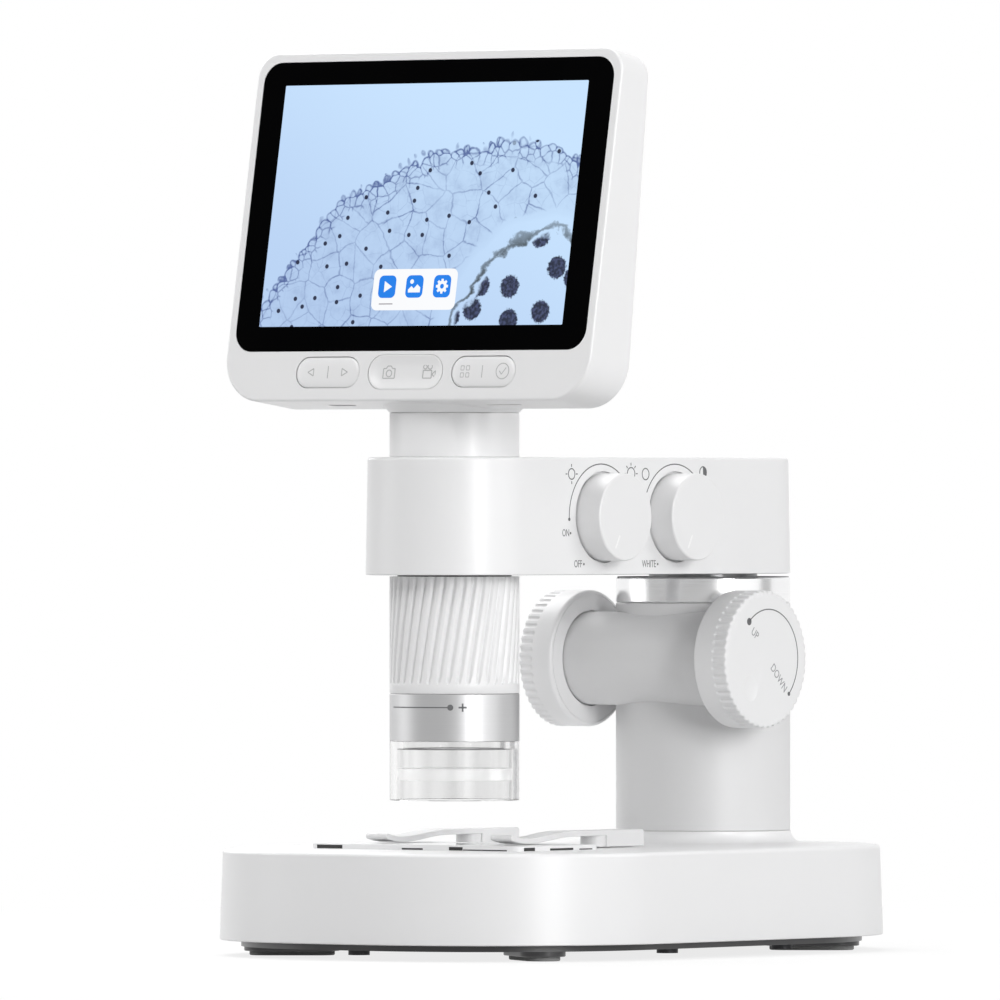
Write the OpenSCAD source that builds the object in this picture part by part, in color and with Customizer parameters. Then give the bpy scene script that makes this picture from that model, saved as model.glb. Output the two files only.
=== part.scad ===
// Desktop digital microscope: a drafted base with a stage, a rack-and-pinion column,
// a camera barrel on a level arm and a display that swivels on the neck.
// Millimetres. +Z is up, the front faces -Y, and the origin is the centre of the
// footprint on the surface that the feet stand on.

/* [Base] */
// Width of the base at its lower edge
base_w = 140; // [130:1:160]
// Length of the base at its lower edge
base_l = 205; // [200:1:230]
// Plan radius of the base's corners
base_corner_r = 60; // [45:1:64]
// Height of the base shell
base_h = 25.5; // [22:0.5:34]
// Wall of the base shell
base_wall = 2.6; // [2:0.1:4]
// Draft angle of the base's sides
base_draft = 2; // [0.5:0.25:4]
// Rounding of the base's top edge
base_edge_r = 1.2; // [0.6:0.1:2.4]
// Thickness of the bottom plate
plate_t = 2.4; // [2.2:0.1:4]
// How far the bottom plate stands back from the base's edge
plate_inset = 6; // [4:0.5:9]
// How far the bottom plate hangs below the shell
plate_drop = 1.8; // [1:0.1:2.2]
// Length of a foot
foot_l = 27; // [20:1:28]
// Width of a foot
foot_w = 13; // [10:1:20]
// Height of a foot's carrier
foot_base_h = 1.5; // [1:0.1:4]
// Height of a foot's rubber pad
foot_pad_h = 1.2; // [0.8:0.1:4]

/* [Stage] */
// Width of the stage plate
stage_w = 74; // [66:1:90]
// Length of the stage plate
stage_l = 38; // [34:1:50]
// Thickness of the stage plate
stage_t = 1.4; // [1:0.1:2]
// Radius of the stage window
window_r = 13; // [9:0.5:15]
// Distance between the two stage clips
clip_spacing = 44; // [36:1:56]
// Width of a stage clip
clip_w = 7.5; // [7.5:0.5:10]
// Thickness of a stage clip's strip
clip_t = 1.6; // [1:0.1:1.8]
// Height of a stage clip above the base
clip_h = 5; // [4.8:0.1:8]
// Distance from a clip's pivot to its tip
clip_reach = 42; // [39:0.2:46]

/* [Column] */
// Outer radius of the column
column_r = 24.9; // [24:0.1:27]
// Wall of the column
column_wall = 2.9; // [2.4:0.1:4]
// Height of the white column above its foot collar
column_h = 64.8; // [62:0.1:90]
// Height of the foot collar on the base
foot_collar_h = 3.5; // [2.5:0.25:5]
// Height of the bright ring on the column
trim_h = 7.3; // [6:0.1:12]
// Distance from the base's rear edge to the column axis
column_setback = 31.6; // [31.2:0.2:36]
// Distance from the optical axis to the column axis
column_throw = 116.8; // [114:0.2:122]
// Radius of the sliding post
post_r = 15.5; // [14:0.25:16]
// Wall of the sliding post
post_wall = 5; // [4.75:0.25:6]
// Height that the carriage can rise
travel_up = 30; // [15:1:30]
// Height that the carriage can sink
travel_down = 0.8; // [0.4:0.1:0.8]

/* [Focus drive] */
// Outer radius of the shaft housing
housing_r = 13.3; // [12:0.1:14]
// Distance from the column's top to the shaft axis
shaft_drop = 15.8; // [15:0.1:18]
// Radius of the focus shaft
shaft_r = 3; // [2:0.1:3.2]
// Radius of a focus knob
knob_r = 19.5; // [17:0.1:21]
// Width of a focus knob
knob_t = 11.3; // [10:0.1:16]
// Number of grip ribs on a focus knob
knob_ribs = 50; // [30:1:70]
// Number of teeth on the pinion
pinion_teeth = 12; // [12:1:14]
// Tooth module of the rack and pinion
gear_module = 0.75; // [0.7:0.05:0.8]

/* [Arm] */
// Half width of the arm at its lower edge
arm_r = 24.9; // [24.5:0.1:27]
// Height of the arm
arm_h = 33; // [31:0.2:42]
// Wall of the arm
arm_wall = 2.6; // [2:0.1:3]
// Draft angle of the arm's sides
arm_draft = 1; // [0.25:0.25:1.5]
// Rounding of the arm's edges
arm_edge_r = 0.9; // [0.5:0.1:1.8]
// Thickness of the arm's lower cover
cover_t = 2; // [1.5:0.1:3]
// Radius of a light dial
dial_r = 12.3; // [10:0.1:13.5]
// Height of a light dial
dial_h = 8.8; // [6:0.2:12]
// Distance from the optical axis to the first dial
dial_first = 36.6; // [34:0.2:38]
// Distance between the two dials
dial_pitch = 34.1; // [30:0.1:36]

/* [Barrel] */
// Outer radius of the barrel, its rings and the neck
barrel_r = 18.2; // [18:0.1:20]
// Height of the ribbed zoom ring
zoom_h = 32.5; // [31:0.5:36]
// Number of ribs on the zoom ring
zoom_ribs = 40; // [24:1:48]
// Angle that a rib winds from its lower to its upper end
rib_twist = 15.2; // [0:0.2:20]
// Plain rim below the zoom ring's ribs
rim_h = 2.5; // [1.5:0.1:4]
// Height of the silver index ring
index_h = 13.4; // [10:0.2:14]
// Height of the clear sleeve
sleeve_h = 16.5; // [10:0.5:18]
// Wall of the clear sleeve
sleeve_wall = 2; // [1.5:0.1:3]
// Radius of the objective lens
lens_r = 9; // [7:0.25:9.5]
// Distance that the lens moves each way
lens_travel = 3; // [1:0.25:3]

/* [Display] */
// Height of the neck
neck_h = 12.2; // [9:0.1:20]
// Width of the display casing
screen_w = 128.5; // [126:0.5:140]
// Height of the display casing's back
screen_h = 98.6; // [97.5:0.1:110]
// How far the casing's front edge hangs below its back edge
chin_drop = 0.8; // [0.2:0.1:1.2]
// Angle that the display leans back
screen_lean = 10.3; // [9:0.1:12]
// Depth of the casing at its lower edge
depth_low = 19.3; // [18:0.1:24]
// Depth of the casing at its upper edge
depth_top = 12.3; // [11.5:0.1:16]
// Corner radius at the top of the casing
corner_top_r = 7; // [5:0.5:12]
// Corner radius at the bottom of the casing
corner_low_r = 13; // [8:0.5:16]
// Rounding of the casing's front edge
screen_edge_r = 0.6; // [0.5:0.1:1.5]
// Wall of the display casing
screen_wall = 2.2; // [1.8:0.1:2.6]
// Distance from the optical axis forward to the casing's lower front edge
screen_forward = 23.9; // [21:0.1:24]
// Height of the casing's lower front edge above the neck
screen_lift = 4.6; // [4.4:0.1:7]
// Height of the chin below the glass
chin_h = 13.1; // [13:0.1:14]
// Width of the casing's rim beside the glass
rim_side = 2.6; // [1.6:0.05:6]
// Width of the casing's rim above the glass
rim_top = 2.7; // [2:0.1:6]
// Width of an outer rocker button
pill_w = 22.2; // [16:0.2:23]
// Height of an outer rocker button
pill_h = 8.6; // [6:0.2:9.6]
// Width of the middle rocker button
dish_w = 26; // [18:0.2:26.4]
// Height of the middle rocker button
dish_h = 9.8; // [7:0.2:10]
// Distance between neighbouring rocker buttons
pill_pitch = 27.4; // [27.2:0.1:30]

/* [Hidden] */
$fn = 72;
eps = 0.01;
// Gap of a running fit, and of a fixed one
run_gap = 0.05;
fix_gap = 0.03;
// Gap between pieces that move past each other
seam = 0.3;
edge_steps = 4;

// Heights of the base
plate_z = foot_pad_h + foot_base_h;
shell_z = plate_z + plate_drop;
base_top = shell_z + base_h;
base_ceiling = base_top - base_wall;
floor_z = plate_z + plate_t;
base_slope = tan(base_draft);

// Plan positions
column_y = base_l/2 - column_setback;
optical_y = column_y - column_throw;

// Heights of the column and the arm
lift_gap = travel_down + seam;
collar_top = base_top + foot_collar_h;
column_top = collar_top + column_h;
trim_top = column_top + trim_h;
arm_z = trim_top + lift_gap;
arm_top = arm_z + arm_h;
arm_ceiling = arm_top - arm_wall;
arm_mid_z = arm_z + arm_h/2;
arm_mid_y = (optical_y + column_y)/2;
arm_span = column_throw + 2*arm_r;
cover_recess = 0.6;
cover_gap = 0.13;
cover_z = arm_z + cover_recess;
cover_top = cover_z + cover_t;
neck_top = arm_top + neck_h;

// Column interior
column_bore = column_r - column_wall;
column_floor = collar_top + 1;
post_z = column_floor + travel_down + 0.5;
post_top = arm_ceiling - 3.5;
post_bore = post_r - post_wall;
bush_r = post_r + run_gap;
lower_bush_top = post_z + travel_up + 2;
lower_bush_h = 8;
upper_bush_h = 9;
upper_bush_top = trim_top - 0.7;
spigot_r = column_bore - 1;
flange_r = spigot_r + 5;
flange_t = 4;
wire_r = 5;

// Rack and pinion
pinion_r = gear_module*pinion_teeth/2;
tooth_pitch = PI*gear_module;
tooth_up = 0.8*gear_module;
tooth_down = 1.1*gear_module;
tooth_half = 0.21*tooth_pitch;
flank = tan(20);
rack_sink = 0.5;
rack_w = 6;
rack_back = 2.5;
rack_front = post_r - rack_sink;
rack_rear = rack_front - tooth_down - rack_back;
pinion_l = rack_w - 2*seam;
shaft_y = column_y - rack_front - pinion_r;
shaft_z = column_top - shaft_drop;
rack_low = ceil((travel_up + 6)/tooth_pitch);
rack_high = 3;

// Focus knobs
housing_bore = housing_r - 2.8;
knob_lap = 1.1;
knob_x = column_r + seam + 0.1;
housing_half = knob_x + knob_lap;
knob_end = knob_x + knob_t;
knob_recess_r = housing_r + 0.4;
knob_floor = housing_half + 0.4;
knob_grip = 0.42*knob_t;
shaft_half = knob_end - 2.4;
rib_depth = 0.6;
rib_tip_in = 0.05;
dimple_r = 4.2;
dimple_at = 9;

// Dials on the arm's right side
dial_hole_r = dial_r + 0.6;
dial_floor = arm_r - 1.5;
dial_back = dial_floor + 0.4;
dial_face = dial_back + dial_h;
stem_r = 3;
pot_r = 8.5;
pot_x = 14;
pot_l = arm_r - arm_wall - arm_h/2*tan(arm_draft) - seam - pot_x;
board_t = 1.6;
dial_ys = [optical_y + dial_first, optical_y + dial_first + dial_pitch];
dial_z = arm_mid_z - 0.3;

// Barrel, from the arm downwards
zoom_top = arm_z - seam;
zoom_z = zoom_top - zoom_h;
index_top = zoom_z - seam;
index_z = index_top - index_h;
sleeve_z = index_z - sleeve_h;
core_r = barrel_r - 2.2;
core_bore = core_r - 2;
core_z = index_z + 5.8;
spigot_h = 5.5;
rib_root = barrel_r - 0.7;
cell_z = index_top + 0.4;
cell_h = 18;
pin_r = 1;
pin_z = cell_z + 10;
cam_r = core_r + 0.9;
flange_out = core_r + 4;
light_ring_z = core_z + 0.4;
lens_seat = cell_z + 1.5;
lens_t = 5;
lens_edge = 1.6;
lens_bow = (lens_t - lens_edge)/2;
lens_curve = (lens_r*lens_r + lens_bow*lens_bow)/(2*lens_bow);
lens_aperture = lens_r - 1.5;
aperture_sag = lens_curve - sqrt(lens_curve*lens_curve - lens_aperture*lens_aperture);
lens_z = lens_seat - aperture_sag + fix_gap;

// Neck and swivel
neck_bore = barrel_r - 4.2;
neck_stem_r = barrel_r - 2.7;
nut_h = 4;
spindle_r = 10;
spindle_bore = 7.5;
swivel_bush_z = arm_top + 1;
clip_ring_t = 1.2;
clip_ring_z = swivel_bush_z - seam - clip_ring_t;
hub_z = neck_top + seam;
hub_flare = 3;
hub_h = 14;

// Display, in its own frame: X across, Y back from the front face, Z up the face
back_slope = atan((depth_low - depth_top)/screen_h);
chin_slope = atan(chin_drop/(depth_low - screen_edge_r - eps));
front_wall = 2.4;
glass_t = 1.15;
glass_r = 6;
glass_w = screen_w - 2*rim_side;
glass_h = screen_h - chin_h - rim_top;
glass_mid = chin_h + glass_h/2;
panel_w = glass_w - 10;
panel_h = glass_h - 8;
panel_t = 3.1;
back_t = 2.2;
main_y = 8.4;
main_w = 84;
main_h = 44;
main_mid = chin_h + 28;
pill_mid = chin_h/2 + 0.5;
cap_gap = 0.3;
cap_proud = 0.25;
cap_flange = 1.2;
flange_front = front_wall + 0.8;
cap_back = flange_front + 1;
rocker_r = 0.9;
rocker_axis = cap_back + 0.5;
switch_h = 1;
key_y = rocker_axis + rocker_r + 0.1;
key_board_w = 94;
port_y = depth_low/2;
port_x = 28.5;

// Stage clips
clip_pivot_y = optical_y + 35.3;
clip_pivot_r = 1.5;
clip_boss_r = 3.6;
clip_tail = 18.9;
clip_low_y = -34.8;
clip_flat_y = -13.9;
clip_steps = 24;
clip_flat_z = clip_h - clip_t/2;
clip_low_z = stage_t + seam + clip_t/2;
clip_tip_rise = 0.9;

// Fasteners and inner pieces
screw_r = 1.5;
head_r = 3;
head_h = 1.4;
boss_r = 4;
base_bosses = [
    [base_w/2 - 13.5, -22], [13.5 - base_w/2, -22],
    [base_w/2 - 13.5, 32], [13.5 - base_w/2, 32],
    [0, 13 - base_l/2]
];
arm_boss_x = arm_r - 7.9;
arm_boss_gap = 4.6;
arm_boss_ys = [dial_ys[0] - pot_r - arm_boss_gap, dial_ys[1] + pot_r + arm_boss_gap];
arm_bosses = [for (x = [-1, 1], y = arm_boss_ys) [x*arm_boss_x, y]];
foot_inset_x = 27.3;
foot_inset_y = 37.4;
foot_x = base_w/2 - foot_inset_x;
foot_y = base_l/2 - foot_inset_y;
foot_turn = 35;
light_tube_r = window_r + 2;
battery = [78, 48, 14];
battery_y = (optical_y + light_tube_r + column_y - flange_r)/2;

// Points of a rounded edge about c, from angle a0 to angle a1
function edge_arc(c, r, a0, a1) =
    [for (i = [0:edge_steps]) c + r*[cos(a0 + (a1 - a0)*i/edge_steps), sin(a0 + (a1 - a0)*i/edge_steps)]];

// Half profile of a drafted wall of height h with its top edge rounded
function drafted(r, h, slope, e) =
    concat([[0, 0], [r, 0]], edge_arc([r - h*slope - e, h - e], e, 0, 90), [[0, h]]);

// Half profile of the cavity inside such a wall, open below
function cavity(r, h, slope) = [[0, -1], [r + slope, -1], [r - h*slope, h], [0, h]];

// Half profile of a plain slab
function slab(r, t) = [[0, 0], [r, 0], [r, t], [0, t]];

// A half profile moved out by s and joined to its mirror image
function both_sides(pts, s) = concat(
    [for (p = pts) [p.x + s, p.y]],
    [for (i = [len(pts) - 1:-1:0]) [-pts[i].x - s, pts[i].y]]
);

// Block with a rounded rectangular plan: the half profile goes round the corners and along the sides
module rounded_sweep(w, l, r, pts) {
    sx = w/2 - r;
    sy = l/2 - r;
    rotate([90, 0, 0]) translate([0, 0, -sy]) linear_extrude(2*sy) polygon(both_sides(pts, sx));
    for (turn = [0, 180]) rotate(turn) translate([0, sy, 0]) {
        if (sx > eps) rotate([90, 0, 90]) translate([0, 0, -sx]) linear_extrude(2*sx) polygon(pts);
        for (side = [0, 1]) mirror([side, 0, 0]) translate([sx, 0, 0]) rotate_extrude(angle = 90) polygon(pts);
    }
}

// Flat plate with rounded corners
module plate(w, l, r, t) {
    rounded_sweep(w, l, r, slab(r, t));
}

// Oblong plate with round ends, along X
module pill(length, width, t) {
    rotate(90) plate(width, length, width/2, t);
}

// Ring with its lower face at z
module ring(r_out, r_in, z, h) {
    translate([0, 0, z]) difference() {
        cylinder(r = r_out, h = h);
        translate([0, 0, -1]) cylinder(r = r_in, h = h + 2);
    }
}

// Round bar along X
module x_rod(r, x0, x1) {
    translate([x0, 0, 0]) rotate([0, 90, 0]) cylinder(r = r, h = x1 - x0);
}

// Screw with its head below z and its shank above
module screw(r, length, cap_r, cap_h) {
    translate([0, 0, -cap_h]) cylinder(r = cap_r, h = cap_h);
    translate([0, 0, -eps]) cylinder(r = r, h = length);
}

module at_optics() {
    translate([0, optical_y, 0]) children();
}

module at_column() {
    translate([0, column_y, 0]) children();
}

module at_shaft() {
    translate([0, shaft_y, shaft_z]) children();
}

module at_arm() {
    translate([0, arm_mid_y, arm_z]) children();
}

module at_screen() {
    translate([0, optical_y - screen_forward, neck_top + screen_lift]) rotate([-screen_lean, 0, 0]) children();
}

// Plan shapes stood up on the display's face, growing forward from the given depth
module on_face(depth) {
    translate([0, depth, 0]) rotate([90, 0, 0]) children();
}

// Base

module base_outer() {
    translate([0, 0, shell_z])
        rounded_sweep(base_w, base_l, base_corner_r, drafted(base_corner_r, base_h, base_slope, base_edge_r));
}

module base_cavity() {
    r = base_corner_r - base_wall;
    translate([0, 0, shell_z])
        rounded_sweep(base_w - 2*base_wall, base_l - 2*base_wall, r, cavity(r, base_h - base_wall, base_slope));
}

// Raised foot round the column, with a hollow fillet down to the base
module foot_collar() {
    f = foot_collar_h - 0.15;
    fillet = edge_arc([column_r + f, foot_collar_h], f, 180, 270);
    at_column() translate([0, 0, base_top])
        rotate_extrude() polygon(concat([[0, foot_collar_h]], fillet, [[column_r + f, -1], [0, -1]]));
}

module base_shell() {
    color("whitesmoke") difference() {
        union() {
            difference() {
                union() {
                    base_outer();
                    foot_collar();
                }
                base_cavity();
            }
            for (p = base_bosses) translate([p.x, p.y, floor_z])
                cylinder(r = boss_r, h = base_ceiling - floor_z + 1);
        }
        at_column() translate([0, 0, base_ceiling - 1]) cylinder(r = spigot_r + fix_gap, h = base_h);
        at_optics() translate([0, 0, base_ceiling - 1]) cylinder(r = window_r, h = base_h);
        for (p = base_bosses) translate([p.x, p.y, floor_z - 1]) cylinder(r = screw_r + fix_gap, h = 12);
        for (side = [-1, 1]) translate([side*clip_spacing/2, clip_pivot_y, base_ceiling - 1])
            cylinder(r = clip_pivot_r + fix_gap, h = base_h);
    }
}

module bottom_plate() {
    color("dimgray") translate([0, 0, plate_z]) difference() {
        plate(base_w - 2*plate_inset, base_l - 2*plate_inset, base_corner_r - plate_inset, plate_t);
        for (p = base_bosses) translate([p.x, p.y, -1]) cylinder(r = screw_r + fix_gap, h = plate_t + 2);
    }
}

// Oblong feet that point at the base's centre
module at_feet() {
    for (x = [-1, 1], y = [-1, 1])
        translate([x*foot_x, y*foot_y, 0]) rotate(x*y*foot_turn) children();
}

module foot_bases() {
    color("black") at_feet() translate([0, 0, foot_pad_h]) pill(foot_l, foot_w, foot_base_h);
}

module foot_pads() {
    color("darkgray") at_feet() pill(foot_l - 3, foot_w - 3, foot_pad_h);
}

module bottom_screws() {
    color("dimgray") for (p = base_bosses) translate([p.x, p.y, plate_z])
        screw(screw_r, plate_t + 10, head_r, head_h);
}

module battery_pack() {
    color("steelblue") translate([-battery.x/2, battery_y - battery.y/2, floor_z]) cube(battery);
}

module light_board() {
    led = [5, 5, 1.5];
    color("seagreen") at_optics() translate([0, 0, floor_z]) union() {
        cylinder(r = window_r - 2.2, h = board_t);
        translate([-led.x/2, -led.y/2, board_t - eps]) cube(led);
    }
}

module light_tube() {
    color("white") at_optics() ring(light_tube_r, window_r - 1.5, floor_z, base_ceiling - floor_z);
}

module stage_plate() {
    color("white") at_optics() translate([0, 0, base_top]) difference() {
        plate(stage_w, stage_l, 3, stage_t);
        translate([0, 0, -1]) cylinder(r = window_r, h = stage_t + 2);
    }
}

module stage_window() {
    color("lightcyan") at_optics() translate([0, 0, base_ceiling])
        cylinder(r = window_r - fix_gap, h = base_wall + stage_t);
}

module clip_pins() {
    color("silver") for (side = [-1, 1]) translate([side*clip_spacing/2, clip_pivot_y, base_ceiling])
        cylinder(r = clip_pivot_r, h = base_wall + clip_h - 1.8);
}

// Column

module column_tube() {
    color("whitesmoke") difference() {
        union() {
            at_column() translate([0, 0, collar_top]) cylinder(r = column_r, h = column_h);
            at_column() translate([0, 0, base_ceiling]) cylinder(r = spigot_r, h = column_floor - base_ceiling);
            at_shaft() x_rod(housing_r, -housing_half, housing_half);
        }
        at_column() translate([0, 0, column_floor]) cylinder(r = column_bore, h = column_h + 1);
        at_column() translate([0, 0, base_ceiling - 1]) cylinder(r = wire_r, h = column_h);
        at_shaft() x_rod(housing_bore, -housing_half - 1, housing_half + 1);
        at_column_screws() translate([0, 0, base_ceiling - 1]) cylinder(r = 2 + fix_gap, h = 6);
    }
}

module at_column_screws() {
    for (turn = [30:120:270]) at_column() rotate(turn) translate([(spigot_r + wire_r)/2, 0, 0]) children();
}

module column_collar() {
    color("silver") at_column() ring(column_r, column_bore, column_top, trim_h);
}

module column_flange() {
    color("gray") difference() {
        at_column() ring(flange_r, wire_r, base_ceiling - flange_t, flange_t);
        at_column_screws() translate([0, 0, base_ceiling - flange_t - 1])
            cylinder(r = 2 + fix_gap, h = flange_t + 2);
    }
}

module column_screws() {
    color("dimgray") at_column_screws() translate([0, 0, base_ceiling - flange_t])
        screw(2, flange_t + 4.5, 3.6, 2.5);
}

// Guide ring for the post, notched in front for the rack
module guide_bush(z, h) {
    at_column() difference() {
        ring(column_bore - fix_gap, bush_r, z, h);
        translate([-rack_w/2 - 0.5, -post_r - 1.5, z - 1]) cube([rack_w + 1, post_r, h + 2]);
    }
}

module guide_bush_upper() {
    color("ivory") guide_bush(upper_bush_top - upper_bush_h, upper_bush_h);
}

module guide_bush_lower() {
    color("ivory") guide_bush(lower_bush_top - lower_bush_h, lower_bush_h);
}

// Focus drive

module shaft_bushes() {
    color("ivory") at_shaft() for (side = [0, 1]) mirror([side, 0, 0]) difference() {
        x_rod(housing_bore - fix_gap, housing_half - 8, housing_half - 0.5);
        x_rod(shaft_r + run_gap, 0, housing_half);
    }
}

module focus_shaft() {
    color("silver") at_shaft() x_rod(shaft_r, -shaft_half, shaft_half);
}

module focus_pinion() {
    step = 360/pinion_teeth;
    root = pinion_r - tooth_down;
    tip = pinion_r + tooth_up;
    shape = [[root, -0.31], [tip, -0.11], [tip, 0.11], [root, 0.31]];
    teeth = [for (i = [0:pinion_teeth - 1], p = shape) p[0]*[cos((i + p[1])*step), sin((i + p[1])*step)]];
    color("darkgoldenrod") at_shaft() difference() {
        rotate([90, 0, 90]) translate([0, 0, -pinion_l/2]) linear_extrude(pinion_l) polygon(teeth);
        x_rod(shaft_r + fix_gap, -pinion_l, pinion_l);
    }
}

// Right-hand knob: grip ribs next to the face, a finger dimple, and a recess for the housing's end
module focus_knob() {
    step = 360/knob_ribs;
    tip = knob_r - rib_tip_in;
    rib = [[knob_r - rib_depth, -0.22], [tip, 0], [tip, 0.3], [knob_r - rib_depth, 0.52]];
    grip = [for (i = [0:knob_ribs - 1], p = rib) p[0]*[cos((i + p[1])*step), sin((i + p[1])*step)]];
    face_edge = 0.5;
    at_shaft() difference() {
        union() {
            x_rod(knob_r, knob_x, knob_end - knob_grip);
            rotate([90, 0, 90]) translate([0, 0, knob_end - knob_grip - eps])
                linear_extrude(knob_grip + eps - face_edge) polygon(grip);
            x_rod(knob_r - rib_depth - face_edge, knob_floor, knob_end);
        }
        x_rod(knob_recess_r, knob_x - 1, knob_floor);
        x_rod(shaft_r + fix_gap, knob_x - 1, shaft_half + fix_gap);
        translate([knob_end + 2*dimple_r, -0.64*dimple_at, -0.77*dimple_at]) sphere(r = 2.24*dimple_r);
    }
}

module focus_knob_right() {
    color("whitesmoke") focus_knob();
}

module focus_knob_left() {
    color("whitesmoke") mirror([1, 0, 0]) focus_knob();
}

// Carriage

module slide_post() {
    color("lightgray") at_column() difference() {
        ring(post_r, post_bore, post_z, post_top - post_z);
        translate([-rack_w/2 - fix_gap, -post_r - 1, shaft_z - rack_low*tooth_pitch])
            cube([rack_w + 2*fix_gap, post_r + 1 - rack_rear, (rack_low + rack_high + 1)*tooth_pitch]);
    }
}

module focus_rack() {
    z_low = -rack_low*tooth_pitch;
    z_high = (rack_high + 1)*tooth_pitch;
    root = -rack_front + tooth_down;
    tip = -rack_front - tooth_up;
    root_half = tooth_half + tooth_down*flank;
    tip_half = tooth_half - tooth_up*flank;
    shape = [[root, -root_half], [tip, -tip_half], [tip, tip_half], [root, root_half]];
    teeth = [for (k = [-rack_low:rack_high], p = shape) [p.x, (k + 0.5)*tooth_pitch + p.y]];
    outline = concat([[-rack_rear, z_low], [root, z_low]], teeth, [[root, z_high], [-rack_rear, z_high]]);
    color("darkgoldenrod") at_column() translate([-rack_w/2, 0, shaft_z])
        rotate([90, 0, 90]) linear_extrude(rack_w) polygon(outline);
}

module arm_outer() {
    slope = tan(arm_draft);
    lower = edge_arc([arm_r - arm_edge_r, arm_edge_r], arm_edge_r, -90, 0);
    upper = edge_arc([arm_r - arm_h*slope - arm_edge_r, arm_h - arm_edge_r], arm_edge_r, 0, 90);
    at_arm() rounded_sweep(2*arm_r, arm_span, arm_r, concat([[0, 0]], lower, upper, [[0, arm_h]]));
}

module arm_cavity() {
    r = arm_r - arm_wall;
    at_arm() rounded_sweep(2*r, arm_span - 2*arm_wall, r, cavity(r, arm_h - arm_wall, tan(arm_draft)));
}

module at_dials() {
    for (y = dial_ys) translate([0, y, dial_z]) children();
}

module arm_shell() {
    color("whitesmoke") difference() {
        union() {
            difference() {
                arm_outer();
                arm_cavity();
            }
            for (p = arm_bosses) translate([p.x, p.y, cover_top])
                cylinder(r = 3.5, h = arm_ceiling - cover_top + 1);
            at_column() translate([0, 0, cover_top + 10])
                cylinder(r = post_r + 3.5, h = arm_ceiling - cover_top - 9);
        }
        at_column() translate([0, 0, cover_top]) cylinder(r = post_r + fix_gap, h = arm_ceiling - cover_top);
        at_optics() translate([0, 0, arm_ceiling - 1]) cylinder(r = neck_stem_r + fix_gap, h = arm_wall + 2);
        at_dials() x_rod(dial_hole_r, dial_floor, arm_r + 2);
        at_dials() x_rod(stem_r + seam, 0, arm_r);
        for (p = arm_bosses) translate([p.x, p.y, cover_top - 1]) cylinder(r = screw_r + fix_gap, h = 11);
    }
}

module arm_cover() {
    r = arm_r - arm_wall - cover_gap;
    color("white") difference() {
        translate([0, arm_mid_y, cover_z]) plate(2*r, column_throw + 2*r, r, cover_t);
        at_column() translate([0, 0, cover_z - 1]) cylinder(r = post_r + fix_gap, h = cover_t + 2);
        at_optics() translate([0, 0, cover_z - 1]) cylinder(r = core_r + fix_gap, h = cover_t + 2);
        for (p = arm_bosses) translate([p.x, p.y, cover_z - 1])
            cylinder(r = screw_r + fix_gap, h = cover_t + 2);
    }
}

module arm_screws() {
    color("dimgray") for (p = arm_bosses) translate([p.x, p.y, cover_z])
        screw(screw_r, cover_t + 9, 2.6, cover_recess);
}

module control_board() {
    length = dial_pitch + 2*pot_r + 3;
    color("seagreen") translate([pot_x - board_t, (dial_ys[0] + dial_ys[1] - length)/2, dial_z - 10])
        cube([board_t, length, 20]);
}

module dial_pots() {
    color("slategray") at_dials() difference() {
        x_rod(pot_r, pot_x, pot_x + pot_l);
        x_rod(stem_r + run_gap, pot_x + 1, pot_x + pot_l + 1);
    }
}

// Dial with a stem into its control, and a pointer cut in the face towards the lower left
module dial(y) {
    pointer = [1, 4.2, 0.7];
    translate([0, y, dial_z]) difference() {
        union() {
            x_rod(dial_r, dial_back, dial_face - 0.5);
            x_rod(dial_r - 0.5, dial_back, dial_face);
            x_rod(stem_r, pot_x + 1.4, dial_back + 1);
        }
        rotate([-29, 0, 0]) translate([dial_face - 0.4, -pointer.z/2, -0.86*dial_r])
            cube([pointer.x, pointer.z, pointer.y]);
    }
}

module brightness_dial() {
    color("whitesmoke") dial(dial_ys[0]);
}

module light_dial() {
    color("whitesmoke") dial(dial_ys[1]);
}

// Barrel

module barrel_tube() {
    slot_h = 2*(lens_travel + pin_r + seam);
    color("darkslategray") at_optics() difference() {
        union() {
            translate([0, 0, core_z]) cylinder(r = core_r, h = cover_top + 2 - core_z);
            translate([0, 0, cover_top]) cylinder(r = flange_out, h = 2);
        }
        translate([0, 0, core_z - 1]) cylinder(r = core_bore, h = arm_h + zoom_h + index_h);
        translate([-pin_r - seam, 0, pin_z - slot_h/2]) cube([2*(pin_r + seam), barrel_r, slot_h]);
    }
}

// Grip ring with leaning ribs above a plain rim, and a track inside for the lens pin
module zoom_ring() {
    step = 360/zoom_ribs;
    tip = barrel_r - rib_tip_in;
    rib = [[rib_root, 0], [tip, 0.2], [tip, 0.52], [rib_root, 0.72]];
    ribs = [for (i = [0:zoom_ribs - 1], p = rib) p[0]*[cos((i + p[1])*step), sin((i + p[1])*step)]];
    track_h = 2*(lens_travel + pin_r + 2*seam);
    color("whitesmoke") at_optics() difference() {
        union() {
            translate([0, 0, zoom_z]) cylinder(r = barrel_r, h = rim_h);
            translate([0, 0, zoom_z + rim_h - eps])
                linear_extrude(zoom_h - rim_h + eps, twist = -rib_twist, slices = 6) polygon(ribs);
        }
        translate([0, 0, zoom_z - 1]) cylinder(r = core_r + run_gap, h = zoom_h + 2);
        translate([0, 0, pin_z - track_h/2]) cylinder(r = cam_r, h = track_h);
    }
}

module index_ring() {
    color("silver") at_optics() ring(barrel_r, core_r + fix_gap, index_z, index_h);
}

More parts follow.
